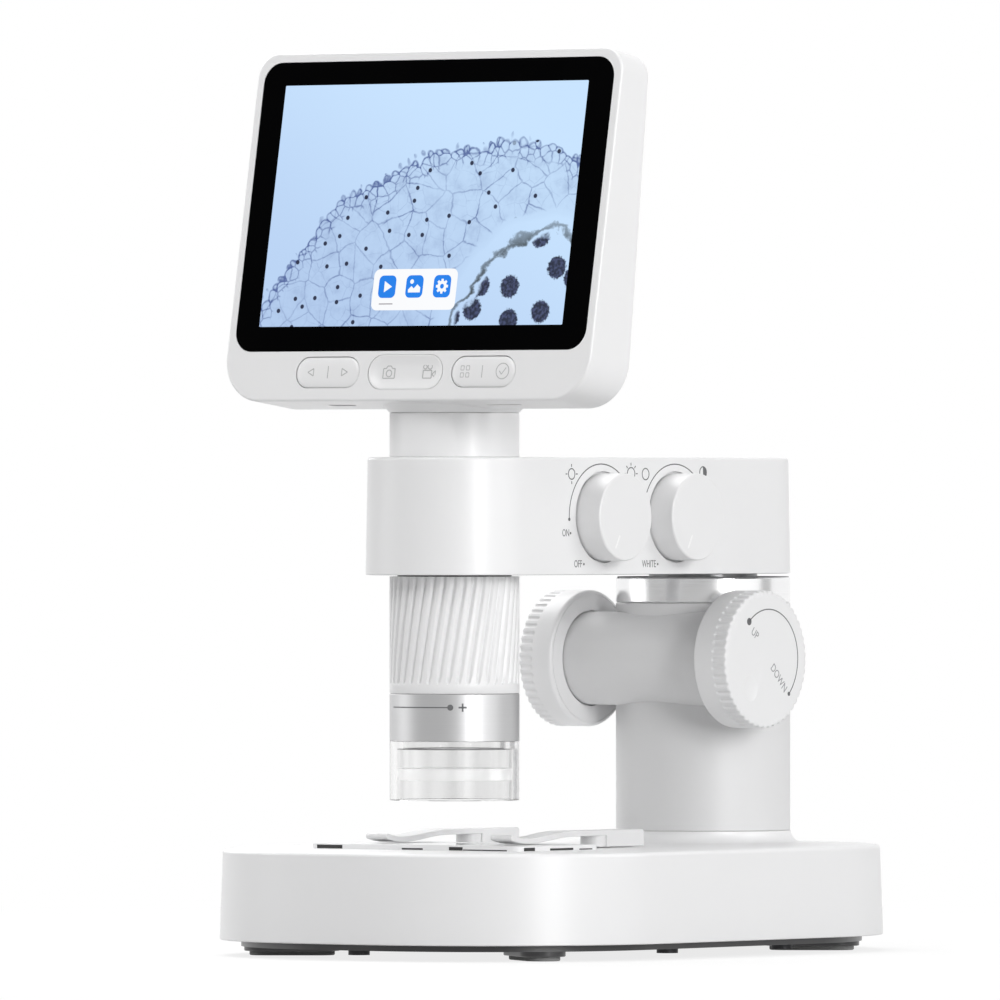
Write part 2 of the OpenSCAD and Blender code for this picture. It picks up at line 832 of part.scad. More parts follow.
// Clear sleeve with a spigot into the index ring and a ledge inside
module clear_sleeve() {
    r_in = barrel_r - sleeve_wall;
    ledge_z = 0.34*sleeve_h;
    ledge_h = 3.3;
    outline = [
        [r_in, 0], [barrel_r - 0.5, 0], [barrel_r, 0.5], [barrel_r, sleeve_h], [core_r, sleeve_h],
        [core_r, sleeve_h + spigot_h], [core_r - 1.5, sleeve_h + spigot_h], [core_r - 1.5, sleeve_h - 2],
        [r_in, sleeve_h - 2], [r_in, ledge_z + ledge_h], [r_in - 1, ledge_z + ledge_h], [r_in - 1, ledge_z],
        [r_in, ledge_z]
    ];
    color("azure", 0.5) at_optics() translate([0, 0, sleeve_z]) rotate_extrude() polygon(outline);
}

module ring_light_board() {
    leds = 8;
    color("seagreen") at_optics() union() {
        ring(core_bore - fix_gap, lens_r - 1, light_ring_z, board_t);
        for (i = [0:leds - 1]) rotate(i*360/leds)
            translate([(core_bore + lens_r - 1)/2 - 1, -1, light_ring_z - 1]) cube([2, 2, 1.5]);
    }
}

module lens_cell() {
    color("dimgray") at_optics() union() {
        translate([0, 0, cell_z]) difference() {
            cylinder(r = core_bore - run_gap, h = cell_h);
            translate([0, 0, -1]) cylinder(r = lens_aperture, h = cell_h + 2);
            translate([0, 0, lens_seat - cell_z]) cylinder(r = lens_r + fix_gap, h = cell_h);
        }
        translate([0, lens_r + 2, pin_z]) rotate([-90, 0, 0])
            cylinder(r = pin_r, h = core_r + 0.6 - lens_r - 2);
    }
}

// Lens with two curved faces and a straight edge
module objective_lens() {
    half = asin(lens_r/lens_curve);
    top = edge_arc([0, lens_t - lens_curve], lens_curve, 90 - half, 90);
    low = edge_arc([0, lens_curve], lens_curve, -90, half - 90);
    color("lightblue") at_optics() translate([0, 0, lens_z]) rotate_extrude() polygon(concat(low, top));
}

module lens_retainer() {
    color("black") at_optics() ring(lens_r, lens_aperture, lens_z + lens_t - aperture_sag + fix_gap, 3);
}

module sensor_board() {
    side = 30;
    color("seagreen") at_optics() union() {
        ring(core_r - 2, lens_r - 1, cover_top + 2, 3);
        translate([-side/2, -side/2, cover_top + 5 - eps]) cube([side, side, board_t]);
    }
}

// Neck and swivel

module neck_tube() {
    color("whitesmoke") at_optics() difference() {
        union() {
            translate([0, 0, arm_top]) cylinder(r = barrel_r, h = neck_h);
            translate([0, 0, arm_ceiling - nut_h]) cylinder(r = neck_stem_r, h = nut_h + arm_wall + 1);
        }
        translate([0, 0, arm_ceiling - nut_h - 1]) cylinder(r = neck_bore, h = arm_h + neck_h);
    }
}

module neck_nut() {
    color("gray") at_optics() ring(neck_stem_r + 4, neck_stem_r + fix_gap, arm_ceiling - nut_h, nut_h);
}

module swivel_bush() {
    bush_h = neck_top - swivel_bush_z;
    color("ivory") at_optics() ring(neck_bore - fix_gap, spindle_r + run_gap, swivel_bush_z, bush_h);
}

// Flared hub under the casing, with the hollow spindle that turns in the neck
module swivel_hub() {
    wide = barrel_r + hub_flare;
    dome_r = hub_h - hub_flare - 2;
    dome = edge_arc([wide - dome_r, hub_h - dome_r], dome_r, 0, 90);
    outline = concat([[0, 0], [barrel_r, 0], [wide, hub_flare]], dome, [[0, hub_h]]);
    spindle_h = hub_z - arm_top + 2;
    color("whitesmoke") difference() {
        at_optics() union() {
            translate([0, 0, hub_z]) rotate_extrude() polygon(outline);
            translate([0, 0, hub_z - spindle_h]) cylinder(r = spindle_r, h = spindle_h + 1);
        }
        at_screen() casing_space();
        at_optics() translate([0, 0, arm_ceiling]) cylinder(r = spindle_bore, h = hub_z + 3 - arm_ceiling);
        at_optics() ring(spindle_r + 1, spindle_r - 1.5, clip_ring_z - 0.1, clip_ring_t + 0.2);
        at_optics() translate([0, 0, hub_z + 2.5]) cylinder(r = wire_r, h = hub_h - 5);
        wire_duct();
    }
}

// Way for the wires from the hub through the back cover
module wire_duct() {
    at_optics() translate([0, 0, hub_z + hub_h/2]) rotate([90, 0, 0]) cylinder(r = 3, h = screen_forward/2);
}

module swivel_clip() {
    color("silver") at_optics() ring(spindle_r + 2, spindle_r - 1.4, clip_ring_z, clip_ring_t);
}

// Display

// All that lies behind the casing's back face, moved forward by t
module behind_back(t) {
    translate([-screen_w, depth_low - t, 0]) rotate([back_slope, 0, 0]) translate([0, 0, -screen_h])
        cube([2*screen_w, screen_w, 3*screen_h]);
}

// The straight-sided space that the casing takes up
module casing_space() {
    difference() {
        translate([-screen_w, depth_low, -eps]) rotate([chin_slope, 0, 0]) translate([0, -screen_w/2, 0])
            cube([2*screen_w, screen_w, 2*screen_h]);
        behind_back(0);
    }
}

// Four thin corner posts of the casing's outline, drawn in by inset, the lower ones let down by drop
module casing_corners(inset, depth, t, drop = 0) {
    for (side = [-1, 1]) {
        translate([side*(screen_w/2 - corner_low_r), depth + t, corner_low_r - drop])
            rotate([90, 0, 0]) cylinder(r = corner_low_r - inset, h = t, $fn = 48);
        translate([side*(screen_w/2 - corner_top_r), depth + t, screen_h - corner_top_r])
            rotate([90, 0, 0]) cylinder(r = corner_top_r - inset, h = t, $fn = 48);
    }
}

module casing_block() {
    difference() {
        hull() {
            for (a = [0:30:90])
                casing_corners(screen_edge_r*(1 - sin(a)), screen_edge_r*(1 - cos(a)), eps, chin_drop);
            casing_corners(0, depth_low - 1, 1);
        }
        behind_back(0);
    }
}

// Hole for a rocker cap, as deep as the cap
module face_hole(x, w, h) {
    translate([x, 0, pill_mid]) on_face(cap_back + 1) pill(w + 2*cap_gap, h + 2*cap_gap, cap_back + 2);
}

module screen_casing() {
    color("whitesmoke") at_screen() difference() {
        union() {
            difference() {
                casing_block();
                hull() casing_corners(screen_wall, front_wall, depth_low);
            }
            for (side = [-1, 1]) translate([side*(key_board_w/2 - 3), 0, pill_mid])
                on_face(key_y) cylinder(r = 2, h = key_y - front_wall + 1);
        }
        translate([0, 0, glass_mid]) on_face(glass_t + 0.05)
            plate(glass_w + 2*fix_gap, glass_h + 2*fix_gap, glass_r + fix_gap, glass_t + 2);
        translate([0, 0, glass_mid]) on_face(front_wall + 1) plate(panel_w - 4, panel_h - 4, 2, front_wall + 2);
        face_hole(-pill_pitch, pill_w, pill_h);
        face_hole(0, dish_w, dish_h);
        face_hole(pill_pitch, pill_w, pill_h);
        translate([-port_x, port_y, -1]) pill(9.2, 3.4, screen_wall + 2);
        translate([port_x - 6, port_y - 1, -1]) cube([12, 2, screen_wall + 2]);
    }
}

module back_cover() {
    board_back = main_y + board_t;
    color("white") difference() {
        at_screen() difference() {
            union() {
                intersection() {
                    hull() casing_corners(screen_wall + 0.1, front_wall, depth_low);
                    behind_back(back_t);
                }
                at_board_corners() on_face(depth_low - 2) cylinder(r = 2.6, h = depth_low - 2 - board_back);
            }
            behind_back(0);
            at_board_corners() on_face(depth_low + 1) cylinder(r = 1 + fix_gap, h = depth_low - board_back);
        }
        wire_duct();
    }
}

module at_board_corners() {
    for (x = [-1, 1], z = [-1, 1]) translate([x*(main_w/2 - 4), 0, main_mid + z*(main_h/2 - 4)]) children();
}

module back_screws() {
    color("dimgray") at_screen() difference() {
        at_board_corners() on_face(depth_low) cylinder(r = 1, h = depth_low - main_y - board_t - 1.4);
        behind_back(0.4);
    }
}

module cover_glass() {
    color("black") at_screen() translate([0, 0, glass_mid])
        on_face(glass_t) plate(glass_w, glass_h, glass_r, glass_t);
}

module lcd_panel() {
    color("lightsteelblue") at_screen() translate([0, 0, glass_mid])
        on_face(front_wall + 0.05 + panel_t) plate(panel_w, panel_h, 1, panel_t);
}

module main_board() {
    chip = [14, 1.2, 14];
    color("seagreen") at_screen() union() {
        translate([-main_w/2, main_y, main_mid - main_h/2]) cube([main_w, board_t, main_h]);
        for (x = [-24, 2, 24]) translate([x - chip.x/2, main_y - chip.y + eps, main_mid - chip.z/2]) cube(chip);
    }
}

module button_board() {
    key_board_h = chin_h - 3.8;
    color("seagreen") at_screen() union() {
        translate([-key_board_w/2, key_y, pill_mid - key_board_h/2]) cube([key_board_w, board_t, key_board_h]);
        for (x = [-pill_pitch, 0, pill_pitch], side = [-7, 7])
            translate([x + side, 0, pill_mid]) on_face(key_y + eps) cylinder(r = 1.6, h = switch_h);
    }
}

module usb_socket() {
    color("silver") at_screen() translate([-port_x, port_y, 0.5]) difference() {
        pill(8.9, 3.1, 7);
        translate([0, 0, -1]) pill(8.3, 2.5, 6.5);
    }
}

module card_socket() {
    color("silver") at_screen() translate([port_x - 5.85, port_y - 0.85, 0.5]) difference() {
        cube([11.7, 1.7, 11]);
        translate([0.4, 0.4, -1]) cube([10.9, 0.9, 11]);
    }
}

// Rocker cap through the casing's front, with a flange behind it and a round rib to rock on
module rocker(x, w, h) {
    at_screen() translate([x, 0, pill_mid]) union() {
        on_face(cap_back) pill(w, h, cap_back + cap_proud);
        on_face(cap_back) pill(w + 2*cap_flange, h - 1, cap_back - flange_front);
        translate([0, rocker_axis, -h/4]) cylinder(r = rocker_r, h = h/2);
    }
}

module left_rocker() {
    color("whitesmoke") rocker(-pill_pitch, pill_w, pill_h);
}

module right_rocker() {
    color("whitesmoke") rocker(pill_pitch, pill_w, pill_h);
}

module middle_rocker() {
    hollow_r = 18;
    color("whitesmoke") difference() {
        rocker(0, dish_w, dish_h);
        at_screen() translate([0, -cap_proud - hollow_r + 0.6, pill_mid]) x_rod(hollow_r, -dish_w, dish_w);
    }
}

// Stage clips

// Height of the strip's middle at distance y from the pivot
function clip_z(y) =
    y < clip_low_y ? clip_low_z + clip_tip_rise*pow((clip_low_y - y)/(clip_reach + clip_low_y), 2) :
    y < clip_flat_y ? clip_low_z + (clip_flat_z - clip_low_z)
        *(1 - cos(180*(y - clip_low_y)/(clip_flat_y - clip_low_y)))/2 :
    clip_flat_z;

module clip_strip() {
    ys = concat([for (i = [0:clip_steps]) -clip_reach + (clip_reach + clip_flat_y)*i/clip_steps], [clip_tail]);
    upper = [for (y = ys) [y, clip_z(y) + clip_t/2]];
    lower = [for (i = [len(ys) - 1:-1:0]) [ys[i], clip_z(ys[i]) - clip_t/2]];
    rotate([90, 0, 90]) translate([0, 0, -clip_w/2]) linear_extrude(clip_w) polygon(concat(upper, lower));
}

module stage_clip(side) {
    block_y = 1.5;
    slot_l = 5;
    color("white") translate([side*clip_spacing/2, clip_pivot_y, base_top]) difference() {
        union() {
            clip_strip();
            translate([0, -clip_reach, clip_z(-clip_reach)]) x_rod(clip_t/2, -clip_w/2, clip_w/2);
            translate([0, 0, seam]) cylinder(r = clip_boss_r, h = clip_h - clip_t/2 - seam);
            translate([-clip_w/2, block_y, seam]) cube([clip_w, clip_tail - block_y, clip_h - clip_t/2 - seam]);
        }
        translate([0, 0, -1]) cylinder(r = clip_pivot_r + run_gap, h = clip_h - 0.5);
        translate([0, clip_flat_y - 2, 0]) rotate(90) pill(slot_l + 2, 2, clip_h + 1);
    }
}

module stage_clip_left() {
    stage_clip(-1);
}

module stage_clip_right() {
    stage_clip(1);
}

base_shell();
bottom_plate();
foot_bases();
foot_pads();
bottom_screws();
battery_pack();
light_board();
light_tube();
stage_plate();
stage_window();
clip_pins();
column_tube();
column_collar();
column_flange();
column_screws();
guide_bush_upper();
guide_bush_lower();
shaft_bushes();
focus_shaft();
focus_pinion();
focus_knob_left();
focus_knob_right();
slide_post();
focus_rack();
arm_shell();
arm_cover();
arm_screws();
control_board();
dial_pots();
barrel_tube();
index_ring();
clear_sleeve();
ring_light_board();
sensor_board();
neck_tube();
neck_nut();
swivel_bush();
brightness_dial();
light_dial();
zoom_ring();
lens_cell();
objective_lens();
lens_retainer();
swivel_hub();
swivel_clip();
screen_casing();
back_cover();
back_screws();
cover_glass();
lcd_panel();
main_board();
button_board();
usb_socket();
card_socket();
left_rocker();
middle_rocker();
right_rocker();
stage_clip_left();
stage_clip_right();
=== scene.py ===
"""Desktop digital microscope: moulded detail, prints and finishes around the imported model."""
import math
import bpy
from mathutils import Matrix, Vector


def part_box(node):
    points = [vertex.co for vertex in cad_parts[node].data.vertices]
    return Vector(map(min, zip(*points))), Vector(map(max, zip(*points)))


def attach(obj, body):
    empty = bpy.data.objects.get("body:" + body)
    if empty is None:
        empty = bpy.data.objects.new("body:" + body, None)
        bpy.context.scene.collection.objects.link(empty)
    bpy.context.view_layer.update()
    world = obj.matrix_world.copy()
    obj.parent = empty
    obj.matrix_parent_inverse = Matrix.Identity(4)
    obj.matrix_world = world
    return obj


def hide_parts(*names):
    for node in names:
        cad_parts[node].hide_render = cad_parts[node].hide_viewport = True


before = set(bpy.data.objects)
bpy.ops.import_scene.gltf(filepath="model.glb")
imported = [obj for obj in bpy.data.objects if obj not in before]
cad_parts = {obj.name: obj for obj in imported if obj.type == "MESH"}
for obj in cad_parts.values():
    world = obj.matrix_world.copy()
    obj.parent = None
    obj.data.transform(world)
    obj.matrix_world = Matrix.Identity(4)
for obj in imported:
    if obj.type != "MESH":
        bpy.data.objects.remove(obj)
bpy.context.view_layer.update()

from types import SimpleNamespace

import bmesh
import bpy
from bpy.props import FloatProperty, FloatVectorProperty, IntProperty, PointerProperty
from bpy.types import Operator, Panel, PropertyGroup
from mathutils import Matrix, Vector

bl_info = {
    "name": "Desktop Digital Microscope",
    "version": (1, 0, 0),
    "blender": (4, 5, 0),
    "location": "View3D > Sidebar > Microscope",
    "description": "Builds the looks of a desktop digital microscope around its packed model",
    "category": "Object",
}

MM = 0.001
DEG = math.pi / 180


def node_box(name):
    """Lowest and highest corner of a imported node, in millimetres."""
    low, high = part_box(name)
    return [c / MM for c in low], [c / MM for c in high]


def node_mid(name):
    """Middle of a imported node's box, in millimetres."""
    low, high = node_box(name)
    return [(a + b) / 2 for a, b in zip(low, high)]


def node_radius(name):
    """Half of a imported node's width, in millimetres."""
    low, high = node_box(name)
    return (high[0] - low[0]) / 2


BASE_LOW, BASE_HIGH = node_box("base_shell")
ARM_LOW, ARM_HIGH = node_box("arm_shell")
ZOOM_LOW, ZOOM_HIGH = node_box("zoom_ring")
KNOB_LOW, KNOB_HIGH = node_box("focus_knob_right")
OPTICS = (ZOOM_LOW[0] + ZOOM_HIGH[0]) / 2, (ZOOM_LOW[1] + ZOOM_HIGH[1]) / 2
COLUMN = tuple(node_mid("column_collar")[:2])
COLUMN_R = node_radius("column_collar")
BARREL_R = node_radius("index_ring")


def length_prop(name, description, default, least, most):
    """A length, given in millimetres."""
    return FloatProperty(
        name=name, description=description, unit="LENGTH", precision=5,
        default=default * MM, min=least * MM, max=most * MM,
    )


def angle_prop(name, description, default, least, most):
    """An angle, given in degrees."""
    return FloatProperty(
        name=name, description=description, subtype="ANGLE",
        default=default * DEG, min=least * DEG, max=most * DEG,
    )


def count_prop(name, description, default, least, most):
    return IntProperty(name=name, description=description, default=default, min=least, max=most)


def colour_prop(name, description, default):
    return FloatVectorProperty(name=name, description=description, subtype="COLOR", default=default)


class MicroscopeSizes(PropertyGroup):
    """Sizes of the moulded detail."""

    edge_r: length_prop("Edge rounding", "Rounding of the moulded edges", 0.9, 0.2, 2)
    base_r: length_prop("Base corner", "Plan radius of the base's corners", 60, 30, 68)
    base_draft: angle_prop("Base draft", "Draft of the base's sides", 2, 0, 4)
    arm_draft: angle_prop("Arm draft", "Draft of the arm's sides", 1, 0, 2)
    print_t: length_prop("Print", "How far a printed mark stands off its surface", 0.03, 0.01, 0.2)
    line_w: length_prop("Print line", "Width of a printed line", 0.32, 0.1, 1)
    knob_ribs: count_prop("Knob ribs", "Grip ribs on a focus knob", 50, 20, 90)
    knob_groove: length_prop("Knob groove", "Depth of the focus knob's grooves", 0.42, 0.1, 1)
    zoom_ribs: count_prop("Zoom ribs", "Ribs on the zoom ring", 40, 20, 60)
    zoom_groove: length_prop("Zoom groove", "Depth of the zoom ring's grooves", 0.60, 0.1, 1)
    zoom_wind: angle_prop("Rib wind", "Angle that a rib winds round the zoom ring", 15.2, 0, 20)
    screen_lean: angle_prop("Display lean", "Angle that the display leans back", 10.3, 0, 20)
    casing_deep: length_prop("Casing depth", "Depth of the casing at its lower edge", 19.3, 15, 25)
    casing_thin: length_prop("Casing top depth", "Depth of the casing at its upper edge", 12.3, 8, 18)
    casing_edge: length_prop("Casing edge", "Rounding of the casing's front edge", 0.7, 0.1, 2)
    chin_drop: length_prop("Chin drop", "How far the front edge hangs below the back edge", 1.1, 0, 2)
    glass_t: length_prop("Glass", "Thickness of the cover glass", 1.15, 0.5, 3)
    pill_w: length_prop("Button width", "Width of an outer button", 22.2, 15, 25)
    pill_h: length_prop("Button height", "Height of an outer button", 8.6, 5, 10)
    dish_w: length_prop("Dish width", "Width of the middle button", 26.0, 15, 27)
    dish_h: length_prop("Dish height", "Height of the middle button", 9.8, 5, 10)
    clip_t: length_prop("Clip strip", "Thickness of a stage clip's strip", 1.6, 0.5, 3)
    clip_low: length_prop("Clip contact", "Distance from a clip's pivot to its lowest place", 34.8, 20, 40)
    clip_flat: length_prop("Clip flat", "Distance from a clip's pivot to the end of its level part", 13.9, 5, 20)


class MicroscopeFinish(PropertyGroup):
    """Colours of the finishes."""

    shell: colour_prop("Shell white", "Moulded white plastic", (0.80, 0.80, 0.805))
    silver: colour_prop("Silver", "Satin metal of the index ring", (0.52, 0.52, 0.525))
    bright: colour_prop("Bright trim", "Polished ring on the column", (0.90, 0.90, 0.905))
    ink: colour_prop("Ink", "Printed marks", (0.12, 0.12, 0.125))
    faint_ink: colour_prop("Faint ink", "Words on the knobs", (0.30, 0.30, 0.31))
    key_ink: colour_prop("Button ink", "Marks on the buttons", (0.46, 0.46, 0.465))
    dark: colour_prop("Dark plastic", "Bottom plate and foot carriers", (0.035, 0.035, 0.037))
    pad: colour_prop("Foot pad", "Rubber pads", (0.35, 0.35, 0.35))
    field: colour_prop("Picture field", "Bright field of the picture", (0.52, 0.69, 0.955))
    stain: colour_prop("Picture stain", "Cell walls in the picture", (0.06, 0.10, 0.30))
    icon: colour_prop("Icon blue", "Icons of the toolbar", (0.02, 0.24, 0.90))


def drawn(group):
    """A group's sizes as a drawing gives them: lengths in millimetres, angles in radians."""
    sizes = SimpleNamespace()
    for key in group.__annotations__:
        value = getattr(group, key)
        if group.bl_rna.properties[key].unit == "LENGTH":
            value = round(value / MM, 4)
        setattr(sizes, key, value)
    return sizes


class Wire:
    """A shader socket whose sums, products and powers add Math nodes."""

    def __init__(self, paint, socket):
        self.paint = paint
        self.socket = socket

    def maths(self, operation, a, b=0.0):
        return self.paint.node("ShaderNodeMath", {"operation": operation}, {0: a, 1: b})

    def __add__(self, other):
        return self.maths("ADD", self, other)

    __radd__ = __add__

    def __sub__(self, other):
        return self.maths("SUBTRACT", self, other)

    def __rsub__(self, other):
        return self.maths("SUBTRACT", other, self)

    def __mul__(self, other):
        return self.maths("MULTIPLY", self, other)

    __rmul__ = __mul__

    def __pow__(self, other):
        return self.maths("POWER", self, other)

    def high(self, other):
        return self.maths("MAXIMUM", self, other)

    def low(self, other):
        return self.maths("MINIMUM", self, other)

    def step(self, start, end):
        """0 at start, 1 at end, smooth between."""
        settings = {"interpolation_type": "SMOOTHSTEP"}
        return self.paint.node("ShaderNodeMapRange", settings, {0: self, 1: start, 2: end, 3: 0.0, 4: 1.0})


class Paint:
    """A procedural material, or the world's, under construction."""

    def __init__(self, name, store="materials"):
        self.owner = getattr(bpy.data, store).new(name)
        self.owner.use_nodes = True
        self.tree = self.owner.node_tree
        self.tree.nodes.clear()

    def node(self, kind, settings=None, inputs=None, output=0):
        """Adds a node, sets it, then gives its sockets values or links."""
        made = self.tree.nodes.new(kind)
        for key, value in (settings or {}).items():
            setattr(made, key, value)
        for key, value in (inputs or {}).items():
            if isinstance(value, Wire):
                self.tree.links.new(value.socket, made.inputs[key])
            elif isinstance(made.inputs[key].default_value, float):
                made.inputs[key].default_value = value
            else:
                length = len(made.inputs[key].default_value)
                made.inputs[key].default_value = (*value, 1.0)[:length]
        return Wire(self, made.outputs[output])

    def place(self, kind="Object"):
        return self.node("ShaderNodeTexCoord", output=kind)

    def noise(self, where, scale, detail=2.0, roughness=0.5):
        inputs = {"Vector": where, "Scale": scale, "Detail": detail, "Roughness": roughness}
        return self.node("ShaderNodeTexNoise", {}, inputs)

    def mix(self, factor, a, b):
        return self.node("ShaderNodeMix", {"data_type": "RGBA"}, {0: factor, 6: a, 7: b}, 2)

    def bump(self, height, strength, distance):
        return self.node("ShaderNodeBump", {}, {"Strength": strength, "Distance": distance, "Height": height})

    def surface(self, **values):
        """Principled surface; a name's underscores stand for the socket's spaces."""
        inputs = {key.replace("_", " "): value for key, value in values.items()}
        self.close(self.node("ShaderNodeBsdfPrincipled", {}, inputs))
        return self.owner

    def lit(self, tone):
        """A dark surface that shines with a tone, as a display does."""
        return self.surface(
            Base_Color=(0, 0, 0), Roughness=0.5, Specular_IOR_Level=0.05,
            Emission_Color=tone, Emission_Strength=1.0,
        )

    def close(self, shader, kind="ShaderNodeOutputMaterial"):
        output = self.tree.nodes.new(kind)
        self.tree.links.new(shader.socket, output.inputs[0])


def tinted(colour, factor):
    return tuple(min(1.0, c * factor) for c in colour)


def moulded_plastic(name, colour, roughness=0.38, grain=900.0, relief=0.05, coat=0.4):
    """Moulded plastic with a fine spark-eroded grain and a slow drift of tone."""
    paint = Paint(name)
    where = paint.place()
    fine = paint.noise(where, grain, 3.0, 0.6)
    slow = paint.noise(where, 14.0, 2.0)
    tone = paint.mix(slow, tinted(colour, 0.975), tinted(colour, 1.015))
    normal = paint.bump(fine, relief, 0.00006)
    rough = roughness + 0.10 * (fine - 0.5)
    return paint.surface(Base_Color=tone, Roughness=rough, Normal=normal, Coat_Weight=coat, Coat_Roughness=0.36)


def satin_metal(name, colour, roughness, around=False):
    """Turned metal: fine lines run round the ring."""
    paint = Paint(name)
    where = paint.place()
    spread = (30.0, 30.0, 5200.0) if around else (2500.0, 2500.0, 2500.0)
    lines = paint.node("ShaderNodeMapping", {}, {"Vector": where, "Scale": spread})
    streak = paint.noise(lines, 1.0, 3.0, 0.65)
    tone = paint.mix(streak, tinted(colour, 0.94), tinted(colour, 1.05))
    rough = roughness + 0.10 * (streak - 0.5)
    normal = paint.bump(streak, 0.05, 0.00002)
    return paint.surface(Base_Color=tone, Metallic=1.0, Roughness=rough, Normal=normal)


def clear_plastic(name, colour, roughness=0.02, reflection_bands=0.0):
    """Clear acrylic with the faintest moulding haze and, where asked for, upright darker bands in its tint that are
    painted reflections.
    """
    paint = Paint(name)
    where = paint.place()
    haze = paint.noise(where, 160.0, 2.0)
    upright = paint.node("ShaderNodeMapping", {}, {"Vector": where, "Scale": (1.0, 1.0, 0.0)})
    # Painted reflection: upright bands that darken the tint, fixed to the part.
    band_mask = paint.noise(upright, 170.0, 1.0).step(0.36, 0.64)
    tone = paint.mix(band_mask, tinted(colour, 1.0 - reflection_bands), colour)
    rough = roughness + 0.03 * haze
    return paint.surface(Base_Color=tone, Roughness=rough, IOR=1.49, Transmission_Weight=1.0)


def frosted_plastic(name, colour, painted_glow):
    """Milky plastic whose emission is painted light: a glow that stands in for light from the ring light."""
    paint = Paint(name)
    milk = paint.noise(paint.place(), 90.0, 2.0)
    tone = paint.mix(milk, tinted(colour, 0.96), colour)
    return paint.surface(Base_Color=tone, Roughness=0.6, Emission_Color=tone, Emission_Strength=painted_glow)


def printed_ink(name, colour, roughness=0.55):
    """Pad-printed ink with slightly uneven cover."""
    paint = Paint(name)
    cover = paint.noise(paint.place(), 2600.0, 2.0)
    tone = paint.mix(cover, tinted(colour, 0.85), tinted(colour, 1.15))
    return paint.surface(Base_Color=tone, Roughness=roughness + 0.1 * (cover - 0.5))


def black_glass(name):
    """Cover glass over a black surround."""
    paint = Paint(name)
    smear = paint.noise(paint.place(), 35.0, 3.0)
    tone = paint.mix(smear, (0.0012, 0.0012, 0.0013), (0.0022, 0.0022, 0.0024))
    rough = 0.10 + 0.05 * smear
    return paint.surface(Base_Color=tone, Roughness=rough, Specular_IOR_Level=0.002)


def lit_colour(name, colour, drift=0.04):
    """A plain lit area of the display with a faint backlight drift."""
    paint = Paint(name)
    slow = paint.noise(paint.place(), 40.0, 2.0)
    tone = paint.mix(slow, tinted(colour, 1.0 - drift), colour)
    return paint.lit(tone)


def cell_picture(name, field, stain):
    """A generic stained section: a curved band of cells with a beaded rim, and dark grains in a hollow."""
    paint = Paint(name)
    where = paint.place("UV")
    u, v = (paint.node("ShaderNodeSeparateXYZ", {}, {0: where}, axis) for axis in (0, 1))
    wander = paint.noise(where, 3.2, 3.0, 0.55)
    fine = paint.noise(where, 26.0, 4.0, 0.6)

    def reach(x, y, wobble):
        across = u - x
        up = v - y
        return (across * across + up * up) ** 0.5 + wobble * (wander - 0.5)

    warp_noise = paint.node("ShaderNodeTexNoise", {}, {"Vector": where, "Scale": 7.0, "Detail": 4.0}, 1)
    warp = paint.node("ShaderNodeVectorMath", {"operation": "SCALE"}, {0: warp_noise, 3: 0.07})
    bent = paint.node("ShaderNodeVectorMath", {"operation": "ADD"}, {0: where, 1: warp})

    def cells(scale, feature, vector, output=0, spread=1.0):
        settings = {"voronoi_dimensions": "2D", "feature": feature}
        inputs = {"Vector": vector, "Scale": scale, "Randomness": spread}
        return paint.node("ShaderNodeTexVoronoi", settings, inputs, output)

    def line(distance, width):
        """1 on a boundary, fading to 0 within width."""
        return 1.0 - (distance * distance * (1.0 / (width * width))).low(1.0)

    bead = cells(26.0, "F1", bent)
    outer = reach(1.12, -0.52, 0.2) + 0.05 * bead
    hollow = reach(1.42, -0.08, 0.3) + 0.05 * (fine - 0.5)
    lining = reach(1.42, -0.08, 0.12)
    inside = 1.0 - outer.step(1.28, 1.286)
    rim = outer.step(1.21, 1.24) * inside
    cavity = 1.0 - hollow.step(0.44, 0.446)
    tissue = inside * lining.step(0.53, 0.56)
    broken = wander.step(0.25, 0.7) * fine.step(0.25, 0.6)
    big = (1.0 - cells(8.5, "DISTANCE_TO_EDGE", bent).step(0.0, 0.045)) * (0.25 + 0.75 * broken)
    small = (1.0 - cells(15.0, "DISTANCE_TO_EDGE", bent).step(0.0, 0.05)) * broken
    beads = (1.0 - cells(26.0, "DISTANCE_TO_EDGE", bent).step(0.0, 0.14)) * rim
    spot_tone = paint.node("ShaderNodeSeparateColor", {}, {0: cells(9.5, "F1", where, "Color")})
    nuclei = (1.0 - cells(9.5, "F1", where).step(0.07, 0.105)) * spot_tone.step(0.42, 0.44) * tissue
    grain_edge = cells(6.5, "F1", where, 0, 0.8) + 0.16 * (paint.noise(where, 90.0, 2.0) - 0.5)
    grains = (1.0 - grain_edge.step(0.27, 0.33)) * (1.0 - hollow.step(0.40, 0.42))
    blotch = paint.noise(where, 11.0, 4.0, 0.65).step(0.42, 0.8)
    shade = tissue * (0.03 + 0.22 * blotch + 0.10 * (fine - 0.4)) + tissue * (0.62 * big + 0.22 * small) + 0.5 * beads
    shade = shade + line(outer - 1.28, 0.012) * (0.35 + 0.5 * broken) + 0.05 * lining.step(0.5, 0.53) * inside
    light = paint.mix((0.35 * u + 0.65 * v).step(0.1, 1.0), tinted(field, 0.95), tinted(field, 1.12))
    tone = paint.mix(shade.high(0.0).low(0.9), light, stain)
    tone = paint.mix(line(hollow - 0.443, 0.014) * inside * (0.55 + 0.45 * broken), tone, (0.03, 0.035, 0.03))
    tone = paint.mix(nuclei.low(0.95), tone, (0.008, 0.008, 0.035))
    speckle = paint.mix(paint.noise(where, 70.0, 2.0).step(0.4, 0.65), (0.006, 0.006, 0.025), (0.05, 0.06, 0.14))
    tone = paint.mix(grains * 0.96, tone, speckle)
    return paint.lit(tone)


PAINTS = {}


